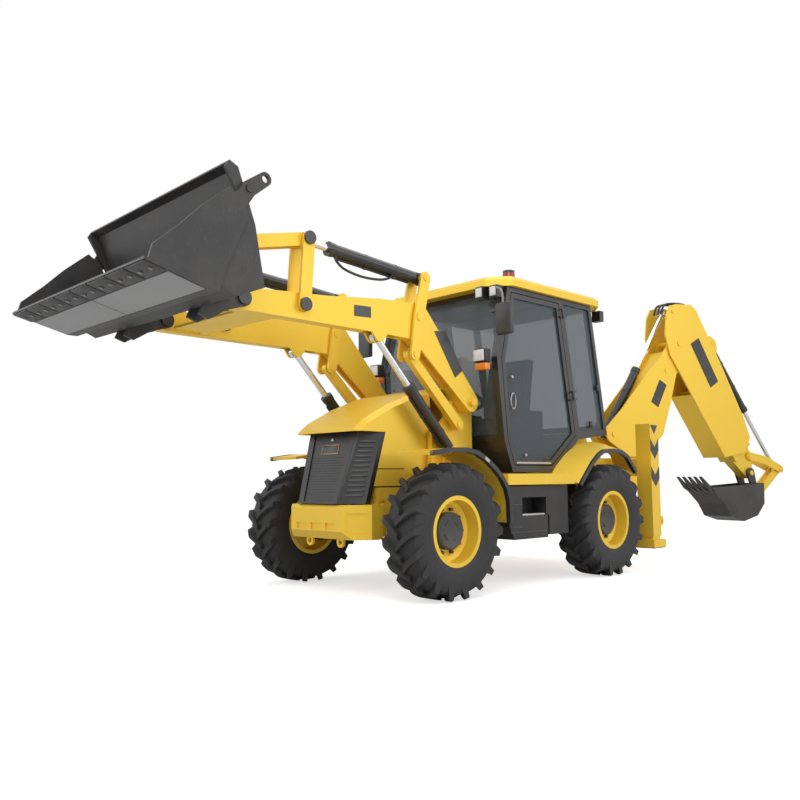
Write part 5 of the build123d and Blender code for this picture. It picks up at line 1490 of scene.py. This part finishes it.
# ---------------------------------------------------------------- backhoe
@dataclass
class Backhoe:
    """Hoses, pipes, collars and blank plates of the backhoe.

    Attributes:
        layout: The machine's pins.
        boom_half: Half width of the boom.
        dipper_half: Half width of the dipper.
        boom_plate: Corners (out, z) of the boom's blank plate.
        dipper_plate: Corners (out, z) of the dipper's blank plate.
        dipper_route: Points (out, z) of the hoses over the dipper.
        dipper_hoses: Their places across.
        boom_route: Points (out, z) of the hoses along the boom.
        boom_hoses: Their places across.
        trim: Collars and pipe of the backhoe's rams.
        rams: Name, foot, eye, length to the gland, and 1 where the pipe lies below.
    """

    layout: Layout
    boom_half: float = 0.128
    dipper_half: float = 0.150
    boom_plate: tuple[Point, ...] = ((0.480, 1.640), (0.580, 1.585), (0.715, 1.830),
                                     (0.615, 1.885))
    dipper_plate: tuple[Point, ...] = ((1.085, 2.300), (1.215, 2.375), (1.500, 1.905),
                                       (1.372, 1.830))
    dipper_route: tuple[Point, ...] = (
        (0.760, 2.624), (0.800, 2.714), (0.900, 2.749), (1.110, 2.756), (1.225, 2.694),
        (1.300, 2.554), (1.430, 2.346))
    dipper_hoses: tuple[float, ...] = (-0.052, 0.0, 0.052)
    boom_route: tuple[Point, ...] = ((0.372, 1.330), (0.470, 1.500), (0.620, 1.760),
                                     (0.740, 1.980), (0.850, 2.180))
    boom_hoses: tuple[float, ...] = (-0.066, 0.066)
    trim: RamTrim = RamTrim((0.0450, 0.0470, 0.0410), (0.0455, 0.0480, 0.0290), 0.036, 0.053,
                            0.0065, (0.080, 0.066), (0.30, 0.64))
    rams: tuple[tuple, ...] = (
        ("dipper_ram", (-0.061, 1.289), (0.833, 2.643), 0.853, 1),
        ("bucket_ram", (1.540, 2.350), (2.593, 0.930), 0.930, -1),
        ("boom_ram", (0.380, 0.940), (0.725, 1.988), 0.640, -1))

    def side_plates(self, arm: str, corners: Sequence[Point], half: float) -> None:
        """Lay a thin blank plate on both faces of an arm.

        Args:
            arm: The arm's body.
            corners: Places in the arm's plane: out and height.
            half: Half width of the arm.
        """
        form = Form()
        for hand in (1, -1):
            form.prism([self.layout.hoe(out, z, hand * (half - 0.0005)) for out, z in corners],
                       self.layout.hoe_left() * (hand * 0.0025))
        form.piece(f"{arm}_plates", arm, Finishes.black, "dark_paint")

    def ram(self, label: str, foot: Point, eye: Point, gland: float, under: int) -> None:
        """Trim one ram barrel.

        Args:
            label: The ram's name.
            foot: Barrel pin, out and height.
            eye: Rod pin.
            gland: Length from the barrel pin to the gland.
            under: 1 where the pipe lies on the lower side, -1 for the upper.
        """
        pipes, collars = Form(), Form()
        start = self.layout.hoe(*foot)
        run = (self.layout.hoe(*eye) - start).normalized()
        off = run.cross(self.layout.hoe_left()).normalized()
        self.trim.add(pipes, collars, start, run, off * (-under if off.z > 0 else under), gland)
        pipes.piece(f"{label}_pipe", f"{label}_barrel", Finishes.hose, "dark_paint")
        collars.piece(f"{label}_collars", f"{label}_barrel", Finishes.black, "dark_paint")

    def hoses(self, arm: str, route: Sequence[Point], places: Sequence[float], radius: float,
              steps: int) -> None:
        """Lead hoses side by side along an arm.

        Args:
            arm: The arm's body.
            route: Points of the route: out and height.
            places: Place of each hose across.
            radius: Radius of a hose.
            steps: Divisions between two points.
        """
        form = Form()
        for aside in places:
            form.tube([self.layout.hoe(out, z, aside) for out, z in route], radius, sides=10,
                      steps=steps)
        form.piece(f"{arm}_hoses", arm, Finishes.hose, "dark_paint")

    def build(self) -> None:
        """Dress the backhoe."""
        self.side_plates("dipper", self.dipper_plate, self.dipper_half)
        self.side_plates("boom", self.boom_plate, self.boom_half)
        for row in self.rams:
            self.ram(*row)
        self.hoses("dipper", self.dipper_route, self.dipper_hoses, 0.012, 5)
        self.hoses("boom", self.boom_route, self.boom_hoses, 0.010, 4)


def feet() -> None:
    """Put rubber pads under the stabiliser feet."""
    inset, below, above = 0.006, 0.008, 0.004
    for label in (side.name.lower() for side in Side):
        low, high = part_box(f"stabiliser_leg_{label}")
        form = Form()
        form.box((low[0] + inset, low[1] + inset, low[2] - below),
                 (high[0] - inset, high[1] - inset, low[2] + above), 0.003)
        form.piece(f"foot_pad_{label}", f"stabiliser_{label}", Finishes.rubber, "dark_paint")


# ---------------------------------------------------------------- the machine
NODE_FINISH: dict[str, object] = {
    "yellow_paint": Finishes.yellow,
    "dark_paint": Finishes.black,
    "shovel_paint": Finishes.charcoal,
    "rod_chrome": Finishes.chrome,
    "tyre": Finishes.rubber,
    "tinted_glass": Finishes.pane,
    "engine_casting": Finishes.casting,
    "seat_plastic": Finishes.seat,
}
OTHER_FINISH: dict[str, object] = {
    "cab_frame": Finishes.cab, "door_left": Finishes.cab, "door_right": Finishes.cab,
    "grille": Finishes.grille, "side_tanks": Finishes.plastic,
}


def dress(node: bpy.types.Object, finish: object) -> None:
    """Give a carried-over solid its finish.

    Args:
        node: The solid's object.
        finish: A Finish or Glass.
    """
    for holder in node.material_slots:
        holder.material = finish.material()
    if not node.material_slots:
        node.data.materials.append(finish.material())


@dataclass
class Studio:
    """Camera, lights, floor and backdrop."""

    camera_place: Place = (4.8171, -5.9453, 0.8557)
    azimuth: float = 46.02
    pitch: float = 5.50
    roll: float = -0.456
    lens: float = 36.63

    def camera(self) -> None:
        """Set the camera at the object's usual three-quarter view."""
        data = bpy.data.cameras.new("camera")
        data.lens, data.sensor_width = self.lens, 36.0
        data.clip_end = 200.0
        eye = bpy.data.objects.new("camera", data)
        bpy.context.scene.collection.objects.link(eye)
        around, up = math.radians(self.azimuth), math.radians(self.pitch)
        forward = Vector((-math.sin(around) * math.cos(up), math.cos(around) * math.cos(up),
                          math.sin(up)))
        right = Vector((math.cos(around), math.sin(around), 0.0))
        top = right.cross(forward)
        lean = math.radians(self.roll)
        right, top = (math.cos(lean) * right + math.sin(lean) * top,
                      math.cos(lean) * top - math.sin(lean) * right)
        turn = Matrix((right, top, -forward)).transposed()
        eye.matrix_world = Matrix.Translation(self.camera_place) @ turn.to_4x4()
        bpy.context.scene.camera = eye

    def light(self, name: str, place: Place, target: Place, size: float, power: float) -> None:
        """Add a soft area light.

        Args:
            name: The light's name.
            place: Where it stands.
            target: What it points at.
            size: Side of the square panel.
            power: Watts.
        """
        data = bpy.data.lights.new(name, "AREA")
        data.size, data.energy = size, power
        lamp = bpy.data.objects.new(name, data)
        bpy.context.scene.collection.objects.link(lamp)
        lamp.location = place
        aim = Vector(target) - Vector(place)
        lamp.rotation_euler = aim.to_track_quat("-Z", "Y").to_euler()

    def background(self) -> None:
        """White to the camera and in reflections, soft grey light for the rest."""
        world = bpy.data.worlds.new("studio")
        bpy.context.scene.world = world
        world.use_nodes = True
        make = Tree(world.node_tree)
        nodes = world.node_tree.nodes
        soft = nodes["Background"]
        soft.inputs["Color"].default_value = (1, 1, 1, 1)
        soft.inputs["Strength"].default_value = 0.38
        white = make.add("ShaderNodeBackground", {"Color": (1, 1, 1, 1), "Strength": 1.0})
        path = make.add("ShaderNodeLightPath")
        seen = make.math("MAXIMUM", path.outputs["Is Camera Ray"],
                         path.outputs["Is Transmission Ray"])
        seen = make.math("MAXIMUM", seen, path.outputs["Is Glossy Ray"])
        both = make.add("ShaderNodeMixShader", {0: seen, 1: soft.outputs[0],
                                                2: white.outputs[0]})
        world.node_tree.links.new(both.outputs[0], nodes["World Output"].inputs["Surface"])

    def floor(self) -> None:
        """A wide pale floor that shows white but keeps a soft shadow."""
        bm = bmesh.new()
        bmesh.ops.create_grid(bm, x_segments=1, y_segments=1, size=30.0)
        mesh = bpy.data.meshes.new("floor")
        bm.to_mesh(mesh)
        bm.free()
        floor = bpy.data.objects.new("floor", mesh)
        bpy.context.scene.collection.objects.link(floor)
        made = bpy.data.materials.new("floor_white")
        made.use_nodes = True
        make = Tree(made.node_tree)
        shader = made.node_tree.nodes["Principled BSDF"]
        shader.inputs["Base Color"].default_value = (0.9, 0.9, 0.9, 1)
        shader.inputs["Roughness"].default_value = 0.9
        shader.inputs["Specular IOR Level"].default_value = 0.1
        shader.inputs["Emission Color"].default_value = (1, 1, 1, 1)
        path = make.add("ShaderNodeLightPath")
        glow = make.math("MULTIPLY", path.outputs["Is Camera Ray"], 0.62)
        made.node_tree.links.new(glow, shader.inputs["Emission Strength"])
        mesh.materials.append(made)

    def build(self) -> None:
        """Set up the whole studio."""
        self.camera()
        self.background()
        self.floor()
        middle = (0.0, 0.0, 1.2)
        self.light("key", (5.5, -6.5, 6.5), middle, 5.0, 300.0)
        self.light("fill", (7.5, 3.0, 4.0), middle, 5.0, 130.0)
        self.light("front", (-5.0, -7.5, 4.5), middle, 5.0, 110.0)
        self.light("top", (0.0, 1.0, 8.0), middle, 6.0, 180.0)


def main() -> None:
    """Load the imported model, dress it and report each step."""
    bpy.context.scene.view_settings.view_transform = "Standard"
    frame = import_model()
    nodes = frame["nodes"]
    slots = {row["node"]: row["material_slot"] for row in frame["record"]["subparts"]}
    for name, node in nodes.items():
        dress(node, OTHER_FINISH.get(name) or NODE_FINISH[slots[name]])
    layout = Layout.read(frame["record"])
    for part in (Wheels, Nose, Cab, Wings, Loader, Backhoe):
        part(layout).build()
        LOG.info("%s dressed", part.__name__)
    feet()
    Studio().build()
    LOG.info("studio ready")


if __name__ == "__main__":
    logging.basicConfig(level=logging.INFO, format="%(name)s: %(message)s")
    main()
